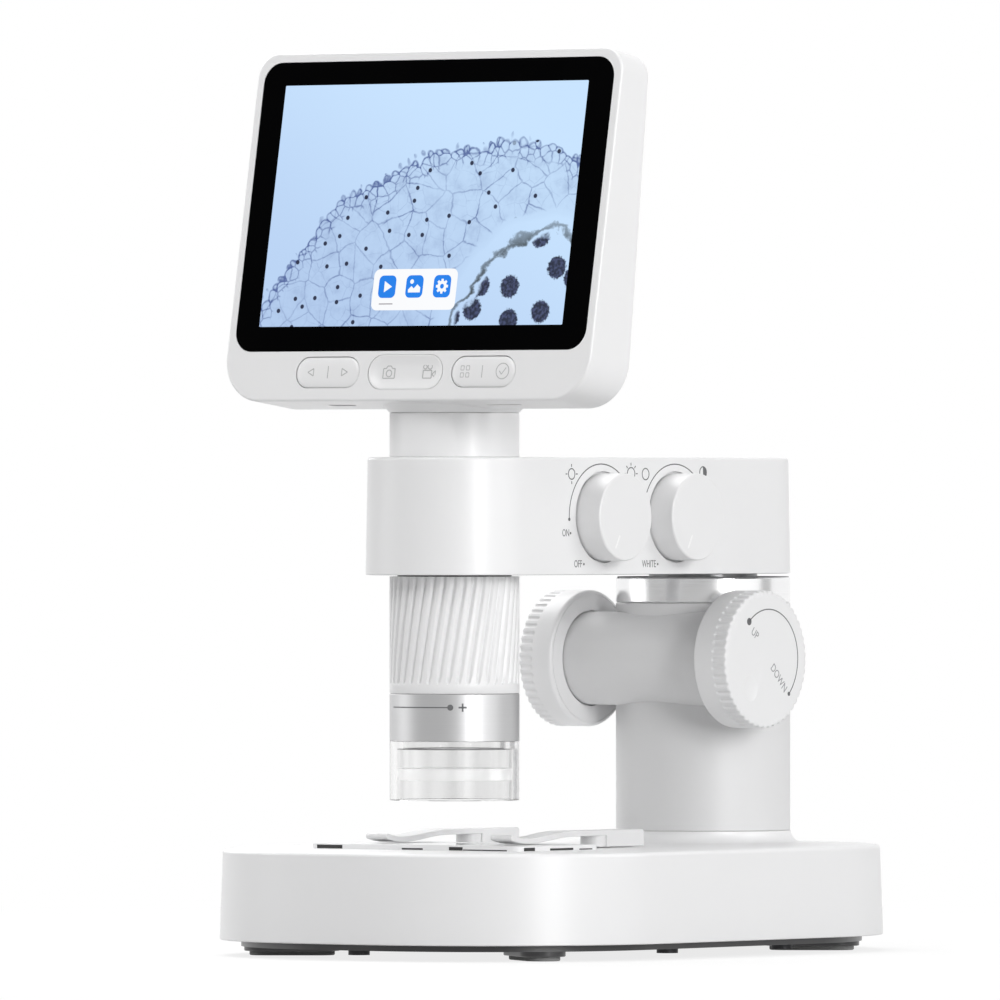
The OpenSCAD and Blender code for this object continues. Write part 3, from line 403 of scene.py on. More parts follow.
def make_paints(finish):
    """All finishes by name."""
    PAINTS.update(
        shell=moulded_plastic("moulded white", finish.shell),
        knob=moulded_plastic("grip white", finish.shell, 0.40, 1100.0, 0.07),
        inner_white=moulded_plastic("inner white", tinted(finish.shell, 0.97), 0.5),
        dark=moulded_plastic("dark plastic", finish.dark, 0.36, 700.0, 0.08),
        pad=moulded_plastic("rubber pad", finish.pad, 0.72, 1600.0, 0.2, 0.0),
        nylon=moulded_plastic("nylon", (0.72, 0.70, 0.62), 0.5),
        board=moulded_plastic("circuit board", (0.02, 0.16, 0.07), 0.4, 500.0, 0.1),
        battery=moulded_plastic("battery wrap", (0.06, 0.14, 0.28), 0.35),
        # Satin white with a coarser grain; its darker tint is painted shade, for the column under the arm and for the
        # stage clips.
        column=moulded_plastic("satin white", tinted(finish.shell, 0.88), 0.46, 1500.0, 0.16, 0.15),
        silver=satin_metal("satin silver", finish.silver, 0.42, True),
        bright=satin_metal("bright trim", finish.bright, 0.22, True),
        steel=satin_metal("screw steel", (0.45, 0.45, 0.46), 0.32),
        black_steel=satin_metal("black screws", (0.04, 0.04, 0.042), 0.45),
        brass=satin_metal("brass", (0.62, 0.45, 0.18), 0.30),
        # The sleeve takes upright darker bands in its tint: painted reflections.
        clear=clear_plastic("clear sleeve", (0.97, 0.97, 0.97), 0.02, 0.16),
        # The frosted ledge glows with painted light, as lamps barely reach it through the clear sleeve.
        frosted=frosted_plastic("frosted band", (0.90, 0.90, 0.90), 0.3),
        # Painted shade: dark grey plastic set where only shade falls, in the arm's lower seam, the gap over the
        # column ring and the step inside the clear sleeve.
        seam=moulded_plastic("seam shadow", (0.16, 0.16, 0.165), 0.6),
        # Whiter than the shell: painted highlight for the dial pointers.
        white_ink=printed_ink("white ink", (0.93, 0.93, 0.93)),
        key_ink=printed_ink("key marks", finish.key_ink),
        lens=clear_plastic("lens glass", (0.95, 0.98, 1.0), 0.0),
        ink=printed_ink("grey ink", finish.ink),
        faint_ink=printed_ink("button ink", finish.faint_ink),
        # Near-black of the segments on the stage plate's edges.
        black_ink=printed_ink("scale ink", (0.02, 0.02, 0.02)),
        glass=black_glass("cover glass"),
        picture=cell_picture("cell picture", finish.field, finish.stain),
        paper=lit_colour("toolbar white", (0.97, 0.98, 1.0)),
        icon=lit_colour("icon blue", finish.icon, 0.15),
        accent=lit_colour("underline", (0.32, 0.30, 0.33)),
    )


class Form:
    """A mesh under construction, in millimetres."""

    def __init__(self):
        self.bm = bmesh.new()
        self.mark = set()

    def begin(self):
        """Remembers the vertices so far."""
        self.mark = set(self.bm.verts)

    def fresh(self):
        """Vertices made since begin."""
        return [v for v in self.bm.verts if v not in self.mark]

    def edges_among(self, verts):
        """Edges between some vertices, in the mesh's own order."""
        chosen = set(verts)
        return [edge for edge in self.bm.edges if chosen.issuperset(edge.verts)]

    def move(self, matrix, verts=None):
        """Moves some vertices, or the fresh ones."""
        bmesh.ops.transform(self.bm, matrix=matrix, verts=verts or self.fresh())

    def sweep(self, geom, start, end, steps):
        """Turns new geometry about Z to the angle start and spins it to the angle end, in degrees."""
        verts = [part for part in geom if isinstance(part, bmesh.types.BMVert)]
        self.move(Matrix.Rotation(start * DEG, 4, "Z"), verts)
        bmesh.ops.spin(
            self.bm, geom=geom, cent=(0, 0, 0), axis=(0, 0, 1), dvec=(0, 0, 0), angle=(end - start) * DEG,
            steps=steps, use_merge=abs(end - start) >= 360, use_duplicate=False,
        )

    def lathe(self, outline, steps=96, matrix=None, closed=True):
        """Spins an outline of (radius, height) points about Z."""
        self.begin()
        points = [self.bm.verts.new((r, 0.0, h)) for r, h in outline]
        pairs = list(zip(points, points[1:]))
        if closed:
            pairs.append((points[-1], points[0]))
        self.sweep(points + [self.bm.edges.new(pair) for pair in pairs], 0, 360, steps)
        bmesh.ops.remove_doubles(self.bm, verts=self.fresh(), dist=1e-4)
        if matrix:
            self.move(matrix)
        return self.fresh()

    def slab(self, w, l, z0, z1, corner, segments=16, draft=0.0, low_edge=0.0, top_edge=0.0, steps=4, matrix=None):
        """A block with a rounded plan, drafted sides and rounded rims.

        corner is one radius, or a function of (x, y); draft is in radians.
        """
        self.begin()
        bmesh.ops.create_cube(self.bm, size=1.0)
        verts = self.fresh()
        bmesh.ops.scale(self.bm, vec=(w, l, z1 - z0), verts=verts)
        bmesh.ops.translate(self.bm, vec=(0, 0, (z0 + z1) / 2), verts=verts)
        radius = corner if callable(corner) else (lambda x, y: corner)
        groups = {}
        for edge in self.edges_among(verts):
            a, b = edge.verts
            if abs(a.co.x - b.co.x) + abs(a.co.y - b.co.y) < 1e-6:
                groups.setdefault(round(radius(a.co.x, a.co.y), 4), []).append(edge)
        for r, edges in groups.items():
            self.soften(edges, r, segments)
        if draft:
            inset = (z1 - z0) * math.tan(draft)
            for v in self.fresh():
                if v.co.z > z1 - 1e-4:
                    r = radius(v.co.x, v.co.y)
                    limit = Vector((w / 2 - r, l / 2 - r))
                    heart = Vector((max(-limit.x, min(limit.x, v.co.x)), max(-limit.y, min(limit.y, v.co.y))))
                    out = Vector((v.co.x, v.co.y)) - heart
                    heart += out * (r - inset) / r
                    v.co.x, v.co.y = heart
        for level, r in ((z0, low_edge), (z1, top_edge)):
            if r:
                flat = [v for v in self.fresh() if abs(v.co.z - level) < 1e-4]
                self.soften(self.edges_among(flat), r, steps)
        if matrix:
            self.move(matrix)
        return self.fresh()

    def soften(self, edges, radius, segments):
        """Rounds edges."""
        bmesh.ops.bevel(
            self.bm, geom=edges, offset=radius, offset_type="OFFSET", segments=segments, profile=0.5,
            affect="EDGES", clamp_overlap=False, material=-1,
        )

    def button(self, w, h, levels, steps=20):
        """A button with round ends, drawn as loops of (inset, height) from its foot to its face."""
        self.begin()
        loops = []
        for inset, z in levels:
            r = h / 2 - inset
            shift = (w - h) / 2
            turns = [(-90 + 180 * i / steps, shift) for i in range(steps + 1)]
            turns += [(90 + 180 * i / steps, -shift) for i in range(steps + 1)]
            ring = [self.bm.verts.new((x + r * math.cos(a * DEG), r * math.sin(a * DEG), z)) for a, x in turns]
            loops.append([self.bm.edges.new(pair) for pair in zip(ring, ring[1:] + ring[:1])])
        for lower, upper in zip(loops, loops[1:]):
            bmesh.ops.bridge_loops(self.bm, edges=lower + upper)
        for end in (loops[0], loops[-1]):
            bmesh.ops.contextual_create(self.bm, geom=end)
        return self.fresh()

    def absorb(self, mesh, matrix):
        """Adds a finished mesh."""
        self.begin()
        self.bm.from_mesh(mesh)
        self.move(matrix)

    def mesh(self, name):
        """Ends the form as a mesh in metres."""
        bmesh.ops.remove_doubles(self.bm, verts=self.bm.verts, dist=1e-5)
        bmesh.ops.recalc_face_normals(self.bm, faces=self.bm.faces)
        bmesh.ops.scale(self.bm, vec=(MM, MM, MM), verts=self.bm.verts)
        made = bpy.data.meshes.new(name)
        self.bm.to_mesh(made)
        self.bm.free()
        return made


class Sketch(Form):
    """Flat printed marks in the XY plane, made solid when they are placed."""

    def bar(self, start, end, width):
        """A straight stroke."""
        a, b = Vector(start), Vector(end)
        run = b - a
        self.begin()
        bmesh.ops.create_grid(self.bm, x_segments=1, y_segments=1, size=0.5)
        turn = Matrix.Rotation(math.atan2(run.y, run.x), 4, "Z")
        size = Matrix.Diagonal((run.length, width, 1.0, 1.0))
        self.move(Matrix.Translation(((a + b) / 2).to_3d()) @ turn @ size)

    def disc(self, centre, radius, segments=28):
        self.begin()
        bmesh.ops.create_circle(self.bm, cap_ends=True, segments=segments, radius=radius)
        self.move(Matrix.Translation((*centre, 0.0)))

    def arc(self, centre, radius, width, start, end, steps=40):
        """A curved stroke from angle start to angle end, in degrees."""
        self.begin()
        ends = [self.bm.verts.new((radius + side * width / 2, 0, 0)) for side in (-1, 1)]
        self.sweep(ends + [self.bm.edges.new(ends)], start, end, steps)
        self.move(Matrix.Translation((*centre, 0.0)))

    def outline(self, points, width):
        """Strokes round a closed shape."""
        for a, b in zip(points, points[1:] + points[:1]):
            self.bar(a, b, width)

    def patch(self, points):
        """A filled shape."""
        self.bm.faces.new([self.bm.verts.new((*p, 0.0)) for p in points])

    def plate(self, centre, w, h, r, segments=6):
        """A filled rectangle with rounded corners."""
        self.begin()
        bmesh.ops.create_grid(self.bm, x_segments=1, y_segments=1, size=0.5)
        self.move(Matrix.Translation((*centre, 0.0)) @ Matrix.Diagonal((w, h, 1.0, 1.0)))
        bmesh.ops.bevel(
            self.bm, geom=self.fresh(), offset=r, offset_type="OFFSET", segments=segments, profile=0.5,
            affect="VERTICES", clamp_overlap=False, material=-1,
        )

    def words(self, text, centre, size, stretch=0.72, turn=0.0):
        """Lettering about a centre, narrowed by stretch and turned by degrees."""
        curve = bpy.data.curves.new("lettering", "FONT")
        curve.body = text
        curve.size = size
        curve.align_x = "CENTER"
        curve.align_y = "CENTER"
        holder = bpy.data.objects.new("lettering", curve)
        bpy.context.scene.collection.objects.link(holder)
        graph = bpy.context.evaluated_depsgraph_get()
        mesh = bpy.data.meshes.new_from_object(holder.evaluated_get(graph))
        spot = Matrix.Translation((*centre, 0.0)) @ Matrix.Rotation(turn * DEG, 4, "Z")
        self.absorb(mesh, spot @ Matrix.Diagonal((stretch, 1.0, 1.0, 1.0)))
        bpy.data.objects.remove(holder)
        bpy.data.meshes.remove(mesh)
        bpy.data.curves.remove(curve)

    def raise_to(self, matrix, proud, sunk=0.03):
        """Gives the marks thickness along Z and puts them in place."""
        bmesh.ops.recalc_face_normals(self.bm, faces=self.bm.faces)
        flat = list(self.bm.faces)
        for face in flat:
            if face.normal.z < 0:
                face.normal_flip()
        made = bmesh.ops.extrude_face_region(self.bm, geom=flat, use_keep_orig=True)
        tops = [v for v in made["geom"] if isinstance(v, bmesh.types.BMVert)]
        lower = [v for v in self.bm.verts if v not in set(tops)]
        bmesh.ops.translate(self.bm, vec=(0, 0, proud), verts=tops)
        bmesh.ops.translate(self.bm, vec=(0, 0, -sunk), verts=lower)
        bmesh.ops.transform(self.bm, matrix=matrix, verts=self.bm.verts)


def piece(name, form, body, paint, stands_for=(), sharp=32.0, even=False):
    """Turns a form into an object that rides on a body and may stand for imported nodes."""
    mesh = form.mesh(name)
    mesh.shade_smooth()
    mesh.set_sharp_from_angle(angle=sharp * DEG)
    made = bpy.data.objects.new(name, mesh)
    bpy.context.scene.collection.objects.link(made)
    mesh.materials.append(PAINTS[paint])
    if even:
        tidy = made.modifiers.new("even shading", "WEIGHTED_NORMAL")
        tidy.keep_sharp = True
    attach(made, body)
    if stands_for:
        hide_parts(*stands_for)
    return made


def carve(name, block, cutters):
    """A form with other forms cut out of it."""
    def stand(form, label):
        made = bpy.data.objects.new(label, form.mesh(label))
        bpy.context.scene.collection.objects.link(made)
        return made

    target = stand(block, name)
    tools = [stand(cutter, f"{name}_cut") for cutter in cutters]
    for tool in tools:
        cut = target.modifiers.new("cut", "BOOLEAN")
        cut.operation = "DIFFERENCE"
        cut.solver = "EXACT"
        cut.object = tool
    graph = bpy.context.evaluated_depsgraph_get()
    mesh = bpy.data.meshes.new_from_object(target.evaluated_get(graph))
    result = Form()
    result.bm.from_mesh(mesh)
    bmesh.ops.scale(result.bm, vec=(1 / MM,) * 3, verts=result.bm.verts)
    for holder in [target, *tools]:
        bpy.data.objects.remove(holder)
    bpy.data.meshes.remove(mesh)
    return result


def paint_nodes(paint, *nodes):
    """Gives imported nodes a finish."""
    for name in nodes:
        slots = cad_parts[name].data.materials
        slots.clear()
        slots.append(PAINTS[paint])


def at(x, y, z=0.0):
    return Matrix.Translation((x, y, z))


def along_x(x, y, z, side=1):
    """Z of a form becomes X, or -X for the left side."""
    return at(x, y, z) @ Matrix.Rotation(side * 90 * DEG, 4, "Y")


def facing_side(side=1):
    """Turns a sketch to face X, or -X for the left side, with its Y upright."""
    return Matrix(((0, 0, side), (side, 0, 0), (0, 1, 0))).to_4x4()


def chamfered(r_in, r_out, z0, z1, c=0.3):
    """Outline of a ring with small chamfers on its outer rims."""
    return [(r_in, z0), (r_out - c, z0), (r_out, z0 + c), (r_out, z1 - c), (r_out - c, z1), (r_in, z1)]


def curve_points(centre, radius, start, end, steps):
    """Points of an arc in a lathe's outline, angles in degrees."""
    return [
        (centre[0] + radius * math.cos((start + (end - start) * i / steps) * DEG),
         centre[1] + radius * math.sin((start + (end - start) * i / steps) * DEG))
        for i in range(steps + 1)
    ]


def face_frame(sizes):
    """Frame of the display's front (X across, Y up the face, Z out of it), its chin and its glass height."""
    up, back = math.cos(sizes.screen_lean), math.sin(sizes.screen_lean)
    glass_low, glass_high = node_box("cover_glass")
    foot_z = node_box("screen_casing")[0][2] + sizes.casing_deep * back
    chin = (glass_low[2] + sizes.glass_t * back - foot_z) / up
    glass_h = (glass_high[2] - glass_low[2] - sizes.glass_t * back) / up
    turn = Matrix(((1, 0, 0), (0, back, -up), (0, up, back))).to_4x4()
    return at(0, glass_low[1] - chin * back, foot_z) @ turn, chin, glass_h


def side_frame(sizes):
    """Frame of the arm's right side: X to the back, Y up, Z out of it; heights are the part's own."""
    up, back = math.cos(sizes.arm_draft), math.sin(sizes.arm_draft)
    turn = Matrix(((0, -back, up), (1, 0, 0), (0, up, back))).to_4x4()
    return at(ARM_HIGH[0], 0, ARM_LOW[2]) @ turn @ at(0, -ARM_LOW[2])


def groove_depth(turn, along, ribs, radius, share):
    """Depth of a round-ended groove, 0 to 1: turn is an angle, along the way from the groove's end."""
    pitch = 2 * math.pi * radius / ribs
    half = share * pitch / 2
    across = ((turn * ribs / (2 * math.pi)) % 1.0 - 0.5) * pitch
    reach = math.hypot(across, min(0.0, along - half)) / half
    return max(0.0, 1.0 - reach * reach) ** 0.6


def sink(vert, cut):
    """Moves a vertex towards the Z axis."""
    spread = math.hypot(vert.co.x, vert.co.y)
    vert.co.x *= (spread - cut) / spread
    vert.co.y *= (spread - cut) / spread


def key_caps(sizes):
    """Width and height of the three buttons, by name."""
    pill, dish = (sizes.pill_w, sizes.pill_h), (sizes.dish_w, sizes.dish_h)
    return {"left": pill, "middle": dish, "right": pill}


def key_frame(name, face, chin):
    """Frame of a button, in the middle of its place on the chin."""
    return face @ at(node_mid(f"{name}_rocker")[0], chin / 2 + 0.5)


class MakePart:
    """Shared shape of the operators."""

    bl_options = {"REGISTER", "UNDO"}

    def execute(self, context):
        if not PAINTS:
            make_paints(context.scene.microscope_finish)
        self.make(drawn(context.scene.microscope_sizes))
        return {"FINISHED"}


class MICROSCOPE_OT_stage(MakePart, Operator):
    """Floor, soft lamps, pale surroundings and the camera"""

    bl_idname = "microscope.stage"
    bl_label = "Stage and camera"

    def make(self, sizes):
        scene = bpy.context.scene
        scene.view_settings.view_transform = "Standard"
        self.floor()
        self.world(scene)
        self.lamps()
        self.flag("front_flag", -142, -8)
        self.flag("side_flag", 30, 48)
        self.camera(scene)

    def show(self, name, form, paint):
        """Links a mesh of the stage."""
        made = bpy.data.objects.new(name, form.mesh(name))
        made.data.materials.append(paint.owner)
        bpy.context.scene.collection.objects.link(made)
        return made

    def floor(self):
        form = Form()
        bmesh.ops.create_grid(form.bm, x_segments=8, y_segments=8, size=9000)
        paint = Paint("pale floor")
        where = paint.place()
        seen = self.seen(paint)
        tone = paint.mix(paint.noise(where, 0.6), (0.49, 0.49, 0.49), (0.51, 0.51, 0.51))
        tone = paint.mix(seen, tone, (0.2, 0.2, 0.2))
        shade = paint.node("ShaderNodeBsdfDiffuse", {}, {"Color": tone})
        lift = paint.node("ShaderNodeEmission", {}, {"Color": (1, 1, 1), "Strength": 0.80 * seen})
        near = paint.node("ShaderNodeAddShader", {}, {0: shade, 1: lift})
        far = paint.node("ShaderNodeEmission", {}, {"Color": (1, 1, 1), "Strength": 1.0})
        away = paint.node("ShaderNodeVectorMath", {"operation": "LENGTH"}, {0: where}, 1).step(0.14, 0.5)
        paint.close(paint.node("ShaderNodeMixShader", {}, {0: away * seen, 1: near, 2: far}))
        self.show("floor", form, paint)

    def seen(self, paint):
        """1 where the camera sees a surface, straight or in metal and glass."""
        camera, glossy, through = (
            paint.node("ShaderNodeLightPath", output=f"Is {kind} Ray")
            for kind in ("Camera", "Glossy", "Transmission")
        )
        return camera.high(glossy).high(through)

    def world(self, scene):
        """White where the camera sees it, dim as a light."""
        paint = Paint("pale surroundings", "worlds")
        scene.world = paint.owner
        dim, white = (
            paint.node("ShaderNodeBackground", {}, {"Color": (1, 1, 1), "Strength": strength})
            for strength in (0.05, 1.0)
        )
        both = paint.node("ShaderNodeMixShader", {}, {0: self.seen(paint), 1: dim, 2: white})
        paint.close(both, "ShaderNodeOutputWorld")

    def look(self, thing, place, aim):
        """Puts a lamp or the camera in place and points it."""
        thing.location = place
        thing.rotation_euler = (aim - place).to_track_quat("-Z", "Y").to_euler()
        bpy.context.scene.collection.objects.link(thing)

    def lamps(self):
        """Soft lamps by azimuth and height angle in degrees, distance, width and height in metres, and power."""
        aim = Vector((0.0, 0.0, 0.12))
        for name, azimuth, height, distance, wide, tall, power in (
            ("key softbox", -36.7, 25, 2.2, 1.0, 1.0, 5.0),
            ("side strip", -20.5, 10, 2.2, 0.36, 0.9, 20.0),
            ("right softbox", 20, 25, 2.2, 1.2, 1.2, 16.5),
            ("front softbox", -95, 45, 2.2, 1.4, 1.4, 20.0),
            ("left softbox", -150, 15, 2.2, 1.2, 1.2, 9.0),
            ("back softbox", 165, 25, 2.2, 1.2, 1.2, 12.0),
            ("top softbox", 150, 62, 2.0, 1.4, 1.4, 24.0),
        ):
            level = distance * math.cos(height * DEG)
            place = aim + Vector((
                level * math.cos(azimuth * DEG), level * math.sin(azimuth * DEG), distance * math.sin(height * DEG)
            ))
            light = bpy.data.lights.new(name, "AREA")
            light.shape = "RECTANGLE"
            light.size = wide
            light.size_y = tall
            light.energy = power
            self.look(bpy.data.objects.new(name, light), place, aim)

    def flag(self, name, start, end):
        """A grey curved screen that only reflections show."""
        radius, foot, top = 3000, 5, 1800
        form = Form()
        ends = [form.bm.verts.new((radius, 0, z)) for z in (foot, top)]
        form.sweep(ends + [form.bm.edges.new(ends)], start, end, 24)
        paint = Paint(f"{name} grey")
        paint.close(paint.node("ShaderNodeEmission", {}, {"Color": (1, 1, 1), "Strength": 0.25}))
        screen = self.show(name, form, paint)
        screen.visible_camera = False
        screen.visible_diffuse = False
        screen.visible_transmission = False
        screen.visible_shadow = False

    def camera(self, scene):
        data = bpy.data.cameras.new("camera")
        data.lens = 581.6
        data.sensor_width = 36.0
        data.clip_start, data.clip_end = 0.1, 50.0
        camera = bpy.data.objects.new("camera", data)
        aim = Vector((0.01001, -0.03802, 0.1277))
        distance, across, ahead, eye_height = 4.524, 0.606, -0.7955, 0.1299
        place = Vector((aim.x + distance * across, aim.y + distance * ahead, eye_height))
        self.look(camera, place, aim)
        scene.camera = camera


class MICROSCOPE_OT_base(MakePart, Operator):
    """Base cover with the column's foot, bottom plate and feet"""

    bl_idname = "microscope.base"
    bl_label = "Base and feet"

    def make(self, sizes):
        w = BASE_HIGH[0] - BASE_LOW[0]
        l = BASE_HIGH[1] - BASE_LOW[1]
        stage_low, _ = node_box("stage_plate")
        top, bottom = stage_low[2], BASE_LOW[2]
        form = Form()
        form.slab(w, l, bottom, top, sizes.base_r, 40, sizes.base_draft, 0.35, 1.2, 5)
        under = min(form.bm.faces, key=lambda f: (round(f.calc_center_median().z, 3), -f.calc_area()))
        wall, hollow = 2.3, 6.0
        bmesh.ops.inset_region(form.bm, faces=[under], thickness=wall, depth=0.0)
        bmesh.ops.translate(form.bm, vec=(0, 0, hollow), verts=under.verts)
        rise, lip, root = BASE_HIGH[2] - top, 0.2, top - 0.6
        outline = [(0, BASE_HIGH[2]), (COLUMN_R - 0.25, BASE_HIGH[2])]
        outline += curve_points((COLUMN_R + rise, BASE_HIGH[2] - lip), rise - lip, 180, 268, 8)
        outline += [(COLUMN_R + rise, root), (0, root)]
        form.lathe(outline, 128, at(*COLUMN), closed=False)
        piece("base_cover", form, "base_body", "shell", ["base_shell"], 30.0, True)
        paint_nodes("dark", "bottom_plate")
        self.feet()

    def feet(self):
        carrier_low, carrier_high = node_box("foot_bases")
        _, pad_high = node_box("foot_pads")
        base, pad = Form(), Form()
        foot_l, foot_w, foot_turn, step = 27.0, 13.0, 35 * DEG, 1.5
        foot_x = carrier_high[0] - (foot_l - foot_w) / 2 * math.cos(foot_turn) - foot_w / 2
        foot_y = carrier_high[1] - (foot_l - foot_w) / 2 * math.sin(foot_turn) - foot_w / 2
        for x in (-1, 1):
            for y in (-1, 1):
                spot = at(x * foot_x, y * foot_y) @ Matrix.Rotation(x * y * foot_turn, 4, "Z")
                base.slab(
                    foot_l, foot_w, carrier_low[2], carrier_high[2], foot_w / 2 - 0.01, 12,
                    low_edge=0.3, steps=2, matrix=spot,
                )
                pad.slab(
                    foot_l - 2 * step, foot_w - 2 * step, 0, pad_high[2], foot_w / 2 - step - 0.01, 12,
                    low_edge=0.4, steps=3, matrix=spot,
                )
        piece("foot_carriers", base, "base_body", "dark", ["foot_bases"], 30.0, True)
        piece("foot_rubbers", pad, "base_body", "pad", ["foot_pads"], 30.0, True)
        paint_nodes("black_steel", "bottom_screws")


class MICROSCOPE_OT_specimen_stage(MakePart, Operator):
    """Stage plate with black segments on its edges, its window and spring clips"""

    bl_idname = "microscope.specimen_stage"
    bl_label = "Specimen stage"

    def make(self, sizes):
        low, high = node_box("stage_plate")
        paint_nodes("inner_white", "stage_plate")
        paint_nodes("lens", "stage_window")
        half_x, half_y = high[0], (high[1] - low[1]) / 2
        thick, deep, lap = high[2] - low[2], 2.4, sizes.print_t
        # Black segments along the plate's front, back and side edges.
        scale = Form()
        for side in (-1, 1):
            for x, run, tall in ((-29.5, 9.0, 0.8), (-0.3, 7.4, 0.4), (15.0, 4.8, 0.75), (25.2, 15.4, 0.3)):
                spot = at(x, side * (half_y + lap - deep / 2), 0) @ at(*OPTICS, low[2])
                scale.slab(run, deep, 0.1, tall * thick, 0.02, 1, matrix=spot)
            for y, run, tall in ((-14.0, 5.0, 0.75), (0.8, 10.7, 0.5), (12.0, 6.0, 0.3)):
                spot = at(side * (half_x + lap - deep / 2), y, 0) @ at(*OPTICS, low[2])
                scale.slab(deep, run, 0.1, tall * thick, 0.02, 1, matrix=spot)
        piece("stage_scale", scale, "base_body", "black_ink")
        for name in ("left", "right"):
            self.clip(sizes, name)
        paint_nodes("steel", "clip_pins")

    def clip(self, sizes, name):
        low, high = node_box(f"stage_clip_{name}")
        base_top, stage_top = (box[2] for box in node_box("stage_plate"))
        x, y0 = (low[0] + high[0]) / 2, node_mid("clip_pins")[1]
        width, thick = high[0] - low[0], sizes.clip_t
        foot, top, seat = low[2] - base_top, high[2] - base_top, stage_top - base_top
        tip, tail = low[1] - y0 + thick / 2, high[1] - y0
        flat, rest = top - thick / 2, seat + foot + thick / 2
        tip_rise, block, boss = 0.9, 1.5, 3.6

        def rise(y):
            if y < -sizes.clip_low:
                return rest + tip_rise * ((-sizes.clip_low - y) / (-sizes.clip_low - tip)) ** 2
            if y < -sizes.clip_flat:
                part = (y + sizes.clip_low) / (sizes.clip_low - sizes.clip_flat)
                return rest + (flat - rest) * (1 - math.cos(math.pi * part)) / 2
            return flat

        run = [tip + (-sizes.clip_flat - tip) * i / 36 for i in range(37)]
        nose = curve_points((tip, rise(tip)), thick / 2, 270, 90, 10)
        upper = [(y, rise(y) + thick / 2) for y in run[1:]]
        end = curve_points((tail - 0.8, top - 0.8), 0.8, 90, 0, 5)
        lower = [(y, rise(y) - thick / 2) for y in reversed(run[1:])]
        profile = nose + upper + end + [(tail, foot), (block, foot), (block, top - thick)] + lower
        form = Form()
        face = form.bm.faces.new([form.bm.verts.new((0, y, z)) for y, z in profile])
        made = bmesh.ops.extrude_face_region(form.bm, geom=[face], use_keep_orig=True)
        far = [v for v in made["geom"] if isinstance(v, bmesh.types.BMVert)]
        bmesh.ops.translate(form.bm, vec=(width, 0, 0), verts=far)
        bmesh.ops.recalc_face_normals(form.bm, faces=form.bm.faces)
        rims = [e for e in form.bm.edges if abs(e.verts[0].co.x - e.verts[1].co.x) < 1e-6]
        form.soften(rims, 0.3, 3)
        form.move(at(-width / 2, 0, 0), form.bm.verts)
        form.lathe([(0, foot), (boss - 0.2, foot), (boss, foot + 0.2), (boss, flat), (0, flat)], 48, closed=False)
        form.move(at(x, y0, base_top), form.bm.verts)
        body, node = f"{name}_clip_body", f"stage_clip_{name}"
        # The clips take the darker satin white: painted shade.
        piece(f"spring_clip_{name}", form, body, "column", [node], 32.0, True)


class MICROSCOPE_OT_column(MakePart, Operator):
    """Column with the shaft housing, the bright ring and the sliding post"""

    bl_idname = "microscope.column"
    bl_label = "Column"

    def make(self, sizes):
        ring_low, ring_high = node_box("column_collar")
        r, bore = COLUMN_R, COLUMN_R - 2.9
        form = Form()
        form.lathe(chamfered(bore, r, BASE_HIGH[2], ring_low[2], 0.2), 128, at(*COLUMN))
        shaft_y, shaft_z = node_mid("focus_shaft")[1:]
        half = node_box("column_tube")[1][0]
        housing_r, recess_r, shaft_r, bevel, recess = 13.3, 10.5, 3.2, 0.4, 0.5
        end = [
            (shaft_r, half - recess), (recess_r - 0.3, half - recess), (recess_r, half),
            (housing_r - bevel, half), (housing_r, half - bevel),
        ]
        outline = [(radius, -along) for radius, along in end] + end[::-1]
        form.lathe(outline, 96, along_x(0, shaft_y, shaft_z))
        piece("column_body", form, "base_body", "column", ["column_tube"], 32.0, True)
        ring = Form()
        ring.lathe(chamfered(bore, r, ring_low[2] + 0.12, ring_high[2], 0.35), 128, at(*COLUMN))
        piece("column_ring", ring, "base_body", "bright", ["column_collar"], 32.0, True)
        # Painted shade: a dark grey ring on top of the bright ring, in the gap under the arm where shade falls.
        gap_shade = Form()
        gap_shade.lathe(chamfered(r - 2.7, r - 0.4, ring_high[2] - 0.1, ring_high[2] + 0.25, 0.08), 128, at(*COLUMN))
        piece("column_gasket", gap_shade, "base_body", "seam")
        paint_nodes("steel", "slide_post")
        paint_nodes("bright", "focus_shaft")


